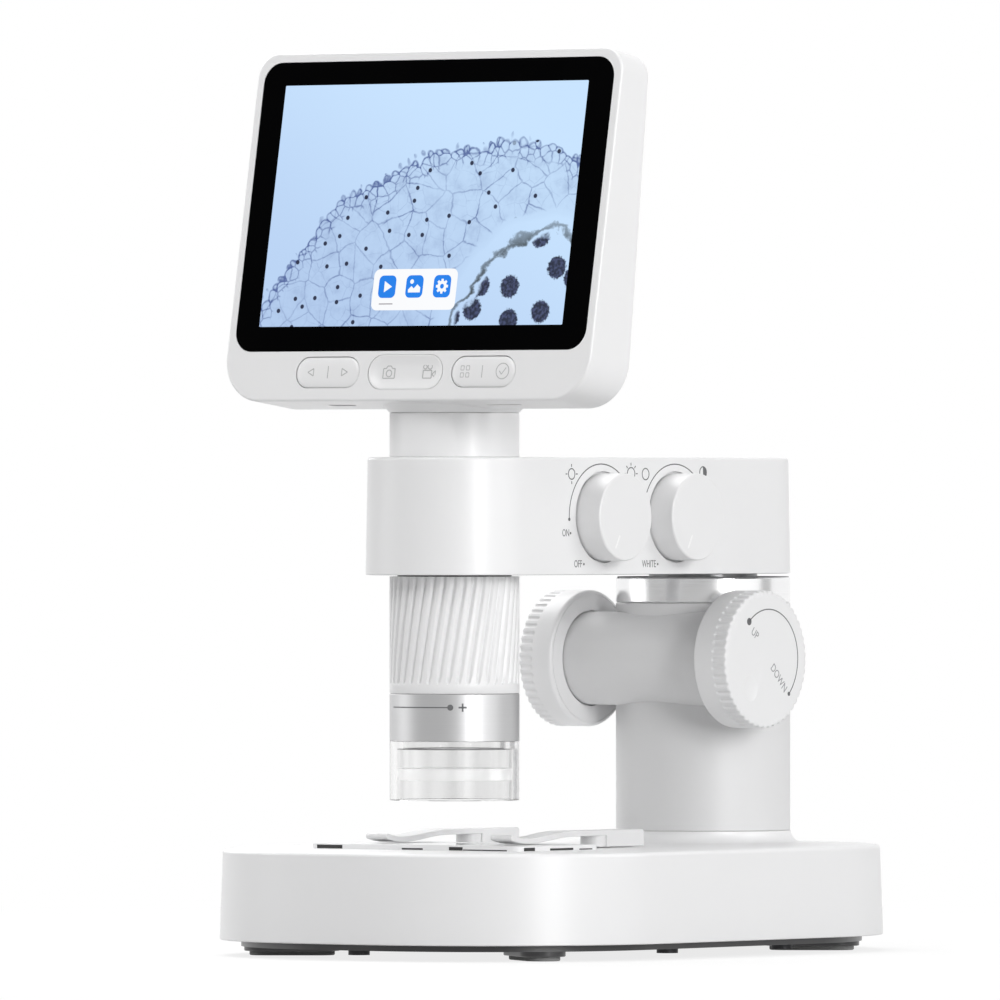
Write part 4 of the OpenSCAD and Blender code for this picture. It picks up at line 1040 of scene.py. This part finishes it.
class MICROSCOPE_OT_focus_knobs(MakePart, Operator):
    """Two ribbed focus knobs with a printed arc and a finger dimple"""

    bl_idname = "microscope.focus_knobs"
    bl_label = "Focus knobs"

    def make(self, sizes):
        for side, name in ((1, "right"), (-1, "left")):
            self.knob(sizes, side, name)
        self.marks(sizes)

    def knob(self, sizes, side, name):
        _, y, z = node_mid("focus_knob_right")
        r = (KNOB_HIGH[2] - KNOB_LOW[2]) / 2
        t = KNOB_HIGH[0] - KNOB_LOW[0]
        grip = t * 0.58
        rows = [t * 0.12, t * 0.3, grip - 0.4] + [grip - 0.1 + 0.16 * i for i in range(9)]
        rows += [t - 2.4, t - 1.2, t - 0.5]
        recess, recess_deep, line, line_w, line_deep = 13.7, 1.5, r - 1.35, 0.16, 0.15
        outline = [(0, recess_deep), (recess, recess_deep), (recess, 0.0), (line, 0.0)]
        outline += [(line, line_deep), (line + line_w, line_deep), (line + line_w, 0.0)]
        outline += curve_points((r - 0.9, 0.9), 0.9, -90, 0, 4)
        outline += [(r, h) for h in rows]
        outline += [(r - 0.12, t - 0.2), (r - 0.45, t)]
        outline += [(r - 2.0, t), (0, t)]
        form = Form()
        for v in form.lathe(outline, sizes.knob_ribs * 12, closed=False):
            if math.hypot(v.co.x, v.co.y) > r - 0.5 and v.co.z > grip - 0.2:
                turn = math.atan2(v.co.y, v.co.x)
                sink(v, sizes.knob_groove * groove_depth(turn, v.co.z - grip, sizes.knob_ribs, r, 0.56))
        dip_r, dip_deep = 3.8, 0.7
        ball = (dip_r * dip_r + dip_deep * dip_deep) / (2 * dip_deep)
        dimple = Form()
        bowl = curve_points((0, ball - dip_deep), ball, -90, -20, 40) + [(0, ball)]
        dimple.lathe(bowl, 64, at(8.2, side * -7.4, t), closed=False)
        form.move(along_x(side * KNOB_LOW[0], y, z, side), form.bm.verts)
        dimple.move(along_x(side * KNOB_LOW[0], y, z, side), dimple.bm.verts)
        form = carve(f"focus_grip_{name}", form, [dimple])
        piece(f"focus_grip_{name}", form, "focus_body", "knob", [f"focus_knob_{name}"], 38.0, True)

    def marks(self, sizes):
        _, y, z = node_mid("focus_knob_right")
        for side, name in ((1, "right"), (-1, "left")):
            marks = Sketch()
            heart, reach = Vector((1.3, 0.2)), 14.0
            marks.arc(heart, reach, sizes.line_w, 131, -46, 60)
            for angle, dot in ((131, 1.05), (-46, 0.6)):
                marks.disc(heart + reach * Vector((math.cos(angle * DEG), math.sin(angle * DEG))), dot)
            face = at(side * KNOB_HIGH[0], y, z) @ facing_side(side)
            marks.raise_to(face, sizes.print_t)
            piece(f"focus_marks_{name}", marks, "focus_body", "ink")
            words = Sketch()
            words.words("UP", (-5.2, 7.3), 3.3, 0.85, -38)
            words.words("DOWN", (6.2, -5.4), 3.4, 0.85, -47)
            words.raise_to(face, sizes.print_t)
            piece(f"focus_words_{name}", words, "focus_body", "faint_ink")


class MICROSCOPE_OT_arm(MakePart, Operator):
    """Level arm with the printed marks round the dials"""

    bl_idname = "microscope.arm"
    bl_label = "Arm"

    def make(self, sizes):
        w, l = ARM_HIGH[0] - ARM_LOW[0], ARM_HIGH[1] - ARM_LOW[1]
        middle = at(0, (ARM_LOW[1] + ARM_HIGH[1]) / 2)

        def tray(rim, round_rim, z0, z1):
            """A slab that follows the arm's plan, a rim inside it, at heights from the arm's underside."""
            form = Form()
            form.slab(
                w - 2 * rim, l - 2 * rim, ARM_LOW[2] + z0, ARM_LOW[2] + z1, w / 2 - round_rim, 48, matrix=middle
            )
            return form

        block = Form()
        block.slab(
            w, l, ARM_LOW[2] + 0.06, ARM_HIGH[2], w / 2 - 0.01, 48,
            sizes.arm_draft, 0.3, sizes.edge_r, 4, middle,
        )
        hollow = 2.6, 2.62, -1.0, 2.7
        # Painted shade: a dark grey band inside the arm's lower rim, where the seam between arm and cover lies in
        # shade.
        seam = carve("arm_seam", tray(0.8, 0.81, 0.0, 1.5), [tray(*hollow)])
        piece("arm_seam", seam, "carriage_body", "seam")
        seat_r, seat_x, past_x = 12.9, 23.4, 27.0
        seat = [(0, seat_x), (seat_r, seat_x), (seat_r, past_x), (0, past_x)]
        cutters = []
        for dial in ("brightness_dial", "light_dial"):
            _, y, z = node_mid(dial)
            well = Form()
            well.lathe(seat, 96, along_x(0, y, z), closed=False)
            cutters.append(well)
        body = carve("arm_body", block, cutters + [tray(*hollow)])
        piece("arm_body", body, "carriage_body", "shell", ["arm_shell"], 30.0, True)
        paint_nodes("inner_white", "arm_cover")
        paint_nodes("steel", "arm_screws")
        self.marks(sizes)

    def marks(self, sizes):
        ink = Sketch()
        line = sizes.line_w
        _, y1, z1 = node_mid("brightness_dial")
        _, y2, z2 = node_mid("light_dial")
        ink.arc((y1 - 0.7, z1 - 0.3), 15.2, line, 181, 55, 48)
        ink.disc((y1 - 15.9, z1 - 0.6), 0.5)
        self.sun(ink, (y1 - 14.5, z1 + 12.1), 1.5, line, 4)
        self.sun(ink, (y1 + 13.3, z1 + 12.2), 1.75, line, 8)
        ink.words("ON", (y1 - 17.6, z1 - 4.5), 2.9)
        ink.disc((y1 - 15.4, z1 - 4.5), 0.35)
        ink.words("OFF", (y1 - 12.1, z1 - 13.2), 2.9)
        ink.disc((y1 - 9.4, z1 - 13.2), 0.35)
        ink.arc((y2 - 0.2, z2 - 0.3), 15.2, line, 152, 55, 48)
        ink.arc((y2 - 14.0, z2 + 12.1), 1.6, line, 0, 360, 32)
        ink.arc((y2 + 13.2, z2 + 12.6), 1.6, line, 0, 360, 32)
        ink.arc((y2 + 13.2, z2 + 12.6), 0.8, 1.6, -90, 90, 20)
        ink.words("WHITE", (y2 - 13.0, z2 - 13.3), 2.9)
        ink.disc((y2 - 8.9, z2 - 13.3), 0.35)
        ink.raise_to(side_frame(sizes), sizes.print_t)
        piece("arm_marks", ink, "carriage_body", "ink")

    def sun(self, ink, centre, radius, line, rays):
        ink.arc(centre, radius, line, 0, 360, 32)
        for k in range(rays):
            ray = Vector((math.cos(k * 360 / rays * DEG), math.sin(k * 360 / rays * DEG)))
            near, far = Vector(centre) + ray * (radius + 0.5), Vector(centre) + ray * (radius + 1.3)
            ink.bar(near, far, line)


class MICROSCOPE_OT_dials(MakePart, Operator):
    """Two plain dials with a raised pointer line"""

    bl_idname = "microscope.dials"
    bl_label = "Dials"

    def make(self, sizes):
        for node, body in (("brightness_dial", "brightness_body"), ("light_dial", "light_body")):
            low, high = node_box(node)
            _, y, z = node_mid(node)
            r = (high[2] - low[2]) / 2
            back = 23.8
            outline = [(0, back), (r - 0.3, back), (r, back + 0.3), (r, high[0] - 0.6)]
            outline += curve_points((r - 0.6, high[0] - 0.6), 0.6, 0, 90, 5) + [(0, high[0])]
            form = Form()
            form.lathe(outline, 128, closed=False)
            form.move(along_x(0, y, z), form.bm.verts)
            piece(f"{node}_cap", form, body, "knob", [node], 32.0, True)
            # The pointer is a raised line whiter than the dial; its whiteness is a painted highlight.
            pointer = Sketch()
            pointer.plate((0, -7.95), 0.6, 4.2, 0.28)
            face = at(high[0], y, z) @ facing_side()
            pointer.raise_to(face @ Matrix.Rotation(-29 * DEG, 4, "Z"), sizes.print_t, 0.1)
            piece(f"{node}_pointer", pointer, body, "white_ink")


class MICROSCOPE_OT_barrel(MakePart, Operator):
    """Ribbed zoom ring, silver index ring and clear sleeve"""

    bl_idname = "microscope.barrel"
    bl_label = "Barrel"

    def make(self, sizes):
        self.zoom(sizes)
        low, _ = node_box("index_ring")
        ring = Form()
        ring.lathe(chamfered(BARREL_R - 2.1, BARREL_R, low[2], ZOOM_LOW[2] - 0.38, 0.15), 160, at(*OPTICS))
        piece("silver_ring", ring, "carriage_body", "silver", ["index_ring"], 32.0, True)
        self.index_marks(sizes, low[2])
        self.sleeve()
        paint_nodes("dark", "barrel_tube", "lens_cell", "lens_retainer")
        paint_nodes("lens", "objective_lens")
        paint_nodes("board", "ring_light_board", "sensor_board")

    def zoom(self, sizes):
        z0, z1 = ZOOM_LOW[2] - 0.3, ARM_LOW[2] - 0.4
        rib_z = z0 + 2.6
        r = (ZOOM_HIGH[0] - ZOOM_LOW[0]) / 2
        rows = [z0 + 0.12, rib_z - 0.15] + [rib_z + 0.14 * i for i in range(13)]
        rows += [rib_z + 2.2 + (z1 - rib_z - 2.2) * i / 14 for i in range(15)]
        bore = r - 1.95
        outline = [(bore, z0), (r - 0.12, z0)] + [(r, h) for h in rows] + [(bore, z1)]
        form = Form()
        for v in form.lathe(outline, sizes.zoom_ribs * 16):
            if math.hypot(v.co.x, v.co.y) < r - 0.5 or v.co.z < rib_z:
                continue
            rise = (v.co.z - rib_z) / (z1 - rib_z)
            turn = math.atan2(v.co.y, v.co.x) - sizes.zoom_wind * rise
            sink(v, sizes.zoom_groove * groove_depth(turn, v.co.z - rib_z, sizes.zoom_ribs, r, 0.42))
        form.move(at(*OPTICS), form.bm.verts)
        piece("zoom_grip", form, "zoom_body", "shell", ["zoom_ring"], 50.0, True)

    def index_marks(self, sizes, z0):
        z = z0 + 9.6
        line = Form()
        half, r_in, r_out = 0.16, BARREL_R - 0.05, BARREL_R + sizes.print_t
        section = (r_in, z - half), (r_out, z - half), (r_out, z + half), (r_in, z + half)
        corners = [line.bm.verts.new((r, 0, h)) for r, h in section]
        ring = [line.bm.edges.new(pair) for pair in zip(corners, corners[1:] + corners[:1])]
        line.sweep(corners + ring + [line.bm.faces.new(corners)], -122, -56.5, 48)
        for angle, size, cross in ((-56.3, 0.85, False), (-45.4, 1.15, True)):
            sketch = Sketch()
            if cross:
                sketch.bar((-size, 0), (size, 0), 0.5)
                sketch.bar((0, -size), (0, size), 0.5)
            else:
                sketch.disc((0, 0), size)
            out = Matrix.Rotation(angle * DEG, 4, "Z") @ at(BARREL_R, 0, z)
            sketch.raise_to(out @ facing_side(), sizes.print_t, 0.08)
            holder = bpy.data.meshes.new("mark")
            sketch.bm.to_mesh(holder)
            sketch.bm.free()
            line.absorb(holder, Matrix())
            bpy.data.meshes.remove(holder)
        line.move(at(*OPTICS), line.bm.verts)
        piece("index_marks", line, "carriage_body", "ink")

    def sleeve(self):
        low, high = node_box("clear_sleeve")
        z0 = low[2]
        h = node_box("index_ring")[0][2] - z0
        r_in, core = BARREL_R - 2.0, BARREL_R - 2.2
        outline = [(r_in, 0), (BARREL_R - 0.15, 0), (BARREL_R, 0.15), (BARREL_R, h), (core, h)]
        outline += [(core, high[2] - z0), (core - 1.5, high[2] - z0), (core - 1.5, h - 2.0), (r_in, h - 2.0)]
        form = Form()
        form.lathe(outline, 128, at(*OPTICS, z0))
        piece("clear_shade", form, "carriage_body", "clear", ["clear_sleeve"], 30.0)
        # The ledge's glow is painted light.
        ledge = Form()
        ledge.lathe(chamfered(r_in - 1.0, r_in - 0.02, 0.34 * h, 0.34 * h + 3.3, 0.1), 128, at(*OPTICS, z0))
        piece("shade_ledge", ledge, "carriage_body", "frosted")
        # Painted shade: a dark grey ring at the step inside the sleeve, for the dark line seen there.
        lip_in, lip_out, lip_low, lip_top = core - 1.55, r_in - 0.02, h - 2.3, h - 2.02
        section = [(lip_in, lip_low), (lip_out, lip_low), (lip_out, lip_top), (lip_in, lip_top)]
        lip = Form()
        lip.lathe(section, 128, at(*OPTICS, z0))
        piece("shade_lip", lip, "carriage_body", "seam")


class MICROSCOPE_OT_neck(MakePart, Operator):
    """Neck between the arm and the display"""

    bl_idname = "microscope.neck"
    bl_label = "Neck"

    def make(self, sizes):
        top = node_box("neck_tube")[1][2] + 0.24
        form = Form()
        form.lathe(chamfered(BARREL_R - 4.2, BARREL_R, ARM_HIGH[2], top, 0.2), 128, at(*OPTICS))
        piece("neck_body", form, "carriage_body", "shell", ["neck_tube"], 32.0, True)
        paint_nodes("shell", "swivel_hub")
        paint_nodes("steel", "neck_nut", "swivel_clip")
        paint_nodes("nylon", "swivel_bush")


class MICROSCOPE_OT_display(MakePart, Operator):
    """Display casing, cover glass, lit picture and toolbar"""

    bl_idname = "microscope.display"
    bl_label = "Display"

    def make(self, sizes):
        face, chin, glass_h = face_frame(sizes)
        low, high = node_box("screen_casing")
        lean, rim = sizes.screen_lean, 2.2
        deep, thin, w = sizes.casing_deep, sizes.casing_thin, high[0] - low[0]
        h = (high[2] - low[2] - (deep - 0.6) * math.sin(lean)) / math.cos(lean)

        def corner(x, y):
            """Plan radius of the casing: wide below, narrow above."""
            return 13.0 if y < 0 else 7.0

        block = Form()
        block.slab(w, h, -deep, 0.0, corner, 20)
        for v in block.bm.verts:
            if v.co.z < -1.0:
                v.co.z = -deep + (deep - thin) * (v.co.y + h / 2) / h
            elif v.co.y < 0:
                v.co.y -= sizes.chin_drop
        front = [e for e in block.bm.edges if all(abs(v.co.z) < 1e-4 for v in e.verts)]
        block.soften(front, sizes.casing_edge, 5)
        back = [e for e in block.bm.edges if all(v.co.z < -thin + 1e-3 for v in e.verts)]
        block.soften(back, 0.8, 3)
        block.move(face @ at(0, h / 2), block.bm.verts)
        cutters = []
        glass_low, glass_high = node_box("cover_glass")
        glass_w = glass_high[0] - glass_low[0]
        bed = Form()
        bed.slab(glass_w + 0.16, glass_h + 0.16, -1.3, 2.0, 6.08, 12, matrix=face @ at(0, chin + glass_h / 2))
        cutters.append(bed)
        sway = 0.22
        for name, (cap_w, cap_h) in key_caps(sizes).items():
            gap = 0.06 if name == "middle" else 0.2
            spot = key_frame(name, face, chin)
            hole = Form()
            hole.slab(cap_w + 2 * sway, cap_h + 2 * gap, -4.0, 2.0, cap_h / 2 + gap - 0.01, 20, matrix=spot)
            cutters.append(hole)
        slope = math.atan2(deep - thin, h)
        lid_frame = face @ at(0, 0, -deep) @ Matrix.Rotation(slope, 4, "X")
        lid_h = h / math.cos(slope)
        lid = Form()
        lid.slab(
            w - 2 * rim, lid_h - 2 * rim, -2.0, 2.25, lambda x, y: corner(x, y) - rim, 16,
            matrix=lid_frame @ at(0, lid_h / 2),
        )
        cutters.append(lid)
        for x, port_w, port_d in ((-28.5, 9.2, 3.0), (28.5, 12.0, 1.6)):
            port = Form()
            port.slab(port_w, port_d, -1.0, 3.0, port_d / 2 - 0.05, 8)
            turn = Matrix(((1, 0, 0), (0, 0, 1), (0, -1, 0))).to_4x4()
            port.move(face @ at(x, 0, -deep / 2) @ turn, port.bm.verts)
            cutters.append(port)
        casing = carve("display_casing", block, cutters)
        piece("display_casing", casing, "screen_body", "shell", ["screen_casing"], 30.0, True)
        glass = Form()
        glass.slab(glass_w, glass_h, -sizes.glass_t, 0.0, 6.0, 12, 0, 0.0, 0.25, 3, face @ at(0, chin + glass_h / 2))
        piece("front_glass", glass, "screen_body", "glass", ["cover_glass"], 30.0, True)
        self.picture(sizes, face @ at(-0.25, 54.7))
        self.toolbar(sizes, face)
        paint_nodes("shell", "back_cover")
        paint_nodes("steel", "back_screws", "usb_socket", "card_socket")

    def picture(self, sizes, middle):
        w, h = 106.7, 69.1
        sheet = Sketch()
        sheet.plate((0, 0), w, h, 0.3, 2)
        sheet.raise_to(Matrix(), 0.02, 0.05)
        layer = sheet.bm.loops.layers.uv.new("picture")
        for face in sheet.bm.faces:
            for loop in face.loops:
                loop[layer].uv = (loop.vert.co.x / h + w / h / 2, loop.vert.co.y / h + 0.5)
        sheet.move(middle, sheet.bm.verts)
        piece("lit_picture", sheet, "screen_body", "picture")

    def toolbar(self, sizes, face):
        board = Sketch()
        board.plate((0.1, 30.45), 29.4, 11.7, 1.9)
        board.raise_to(face, 0.06, 0.0)
        piece("toolbar_panel", board, "screen_body", "paper")
        tiles, glyphs = Sketch(), Sketch()
        for k, x in enumerate((-9.6, 0.0, 9.7)):
            tiles.plate((x, 31.3), 6.0, 6.4, 1.5)
            if k == 0:
                glyphs.patch([(x - 1.0, 29.7), (x + 1.7, 31.3), (x - 1.0, 32.9)])
            elif k == 1:
                hills = [(2.1, 31.0), (1.0, 31.9), (-0.2, 30.7), (-1.0, 31.4), (-2.1, 30.5)]
                glyphs.patch([(x + dx, y) for dx, y in [(-2.1, 29.6), (2.1, 29.6)] + hills])
                glyphs.disc((x - 1.0, 32.7), 0.65, 20)
            else:
                glyphs.arc((x, 31.3), 1.15, 0.9, 0, 360, 32)
                for tooth in range(8):
                    ray = Vector((math.cos(tooth * 45 * DEG), math.sin(tooth * 45 * DEG)))
                    glyphs.bar(Vector((x, 31.3)) + ray * 1.4, Vector((x, 31.3)) + ray * 2.1, 0.75)
        tiles.raise_to(face, 0.09, 0.0)
        piece("toolbar_icons", tiles, "screen_body", "icon")
        glyphs.raise_to(face, 0.12, 0.0)
        piece("toolbar_glyphs", glyphs, "screen_body", "paper")
        line = Sketch()
        line.bar((-11.9, 26.4), (-7.1, 26.4), 0.3)
        line.raise_to(face, 0.09, 0.0)
        piece("toolbar_underline", line, "screen_body", "accent")


class MICROSCOPE_OT_buttons(MakePart, Operator):
    """Three rocker buttons and their marks"""

    bl_idname = "microscope.buttons"
    bl_label = "Buttons"

    def make(self, sizes):
        face, chin, _ = face_frame(sizes)
        pill = [(0, -4.2), (0, -0.3), (0.2, -0.12), (0.6, 0.02), (1.2, 0.12), (2.0, 0.18), (3.0, 0.2)]
        dish = [
            (0.2, -4.2), (0.2, -0.7), (0, -0.1), (0.12, -0.03), (0.4, -0.06),
            (0.9, -0.22), (1.6, -0.5), (2.4, -0.74), (3.2, -0.84), (4.0, -0.87),
        ]
        for name, (w, h) in key_caps(sizes).items():
            cap = Form()
            cap.button(w, h, dish if name == "middle" else pill)
            cap.move(key_frame(name, face, chin), cap.bm.verts)
            piece(f"{name}_key_cap", cap, f"{name}_key_body", "shell", [f"{name}_rocker"], 40.0)
        self.marks(sizes, face)

    def marks(self, sizes, face):
        line = 0.28
        left = Sketch()
        left.outline([(-34.7, 7.05), (-32.7, 8.1), (-32.7, 6.0)], line)
        left.bar((-27.6, 5.3), (-27.6, 8.8), line)
        left.outline([(-20.7, 7.05), (-22.7, 8.1), (-22.7, 6.0)], line)
        left.raise_to(face @ at(0.45, 0), 0.21, 0.0)
        piece("left_key_marks", left, "left_key_body", "key_ink")
        right = Sketch()
        tile = (-0.55, -0.6), (0.55, -0.6), (0.55, 0.6), (-0.55, 0.6)
        for dx in (-0.95, 0.95):
            for dz in (-1.0, 1.0):
                right.outline([(20.7 + dx + a, 7.05 + dz + b) for a, b in tile], 0.22)
        right.bar((26.7, 5.3), (26.7, 8.8), line)
        right.arc((33.8, 7.1), 2.2, line, 0, 360, 40)
        right.bar((32.7, 7.2), (33.5, 6.2), line)
        right.bar((33.5, 6.2), (35.0, 8.1), line)
        right.raise_to(face @ at(0.45, 0), 0.21, 0.0)
        piece("right_key_marks", right, "right_key_body", "key_ink")
        middle = Sketch()
        hump = [(-5.2, 8.2), (-5.7, 8.9), (-6.9, 8.9), (-7.4, 8.2)]
        middle.outline([(-8.3, 5.4), (-4.3, 5.4), (-4.3, 8.2)] + hump + [(-8.3, 8.2)], line)
        middle.arc((-6.3, 6.8), 0.95, line, 0, 360, 28)
        middle.outline([(5.7, 5.4), (8.7, 5.4), (8.7, 7.6), (5.7, 7.6)], line)
        middle.outline([(8.9, 6.5), (10.0, 7.5), (10.0, 5.5)], line)
        middle.arc((6.3, 8.6), 0.6, line, 0, 360, 20)
        middle.arc((8.0, 8.7), 0.75, line, 0, 360, 20)
        middle.raise_to(face, -0.79, 1.0)
        piece("middle_key_marks", middle, "middle_key_body", "key_ink")


class MICROSCOPE_OT_inner(MakePart, Operator):
    """Finishes of the inner pieces"""

    bl_idname = "microscope.inner"
    bl_label = "Inner pieces"

    def make(self, sizes):
        paint_nodes("battery", "battery_pack")
        paint_nodes("board", "light_board", "control_board", "main_board", "button_board")
        paint_nodes("inner_white", "light_tube")
        paint_nodes("steel", "column_flange", "column_screws")
        paint_nodes("nylon", "guide_bush_upper", "guide_bush_lower", "shaft_bushes")
        paint_nodes("brass", "focus_rack", "focus_pinion")
        paint_nodes("dark", "dial_pots", "lcd_panel")


OPERATORS = (
    MICROSCOPE_OT_stage, MICROSCOPE_OT_base, MICROSCOPE_OT_specimen_stage, MICROSCOPE_OT_column,
    MICROSCOPE_OT_focus_knobs, MICROSCOPE_OT_arm, MICROSCOPE_OT_dials, MICROSCOPE_OT_barrel,
    MICROSCOPE_OT_neck, MICROSCOPE_OT_display, MICROSCOPE_OT_buttons, MICROSCOPE_OT_inner,
)


class MICROSCOPE_PT_sidebar(Panel):
    """Lists the microscope's pieces"""

    bl_idname = "MICROSCOPE_PT_sidebar"
    bl_label = "Microscope"
    bl_space_type = "VIEW_3D"
    bl_region_type = "UI"
    bl_category = "Microscope"

    def draw(self, context):
        for operator in OPERATORS:
            self.layout.operator(operator.bl_idname)
        for group in (context.scene.microscope_sizes, context.scene.microscope_finish):
            column = self.layout.column()
            for key in group.__annotations__:
                column.prop(group, key)


CLASSES = (MicroscopeSizes, MicroscopeFinish, *OPERATORS, MICROSCOPE_PT_sidebar)


def register():
    for item in CLASSES:
        bpy.utils.register_class(item)
    bpy.types.Scene.microscope_sizes = PointerProperty(type=MicroscopeSizes)
    bpy.types.Scene.microscope_finish = PointerProperty(type=MicroscopeFinish)


def unregister():
    del bpy.types.Scene.microscope_finish
    del bpy.types.Scene.microscope_sizes
    for item in reversed(CLASSES):
        bpy.utils.unregister_class(item)


def main():
    register()
    for operator in OPERATORS:
        group, name = operator.bl_idname.split(".")
        getattr(getattr(bpy.ops, group), name)()


if __name__ == "__main__":
    main()
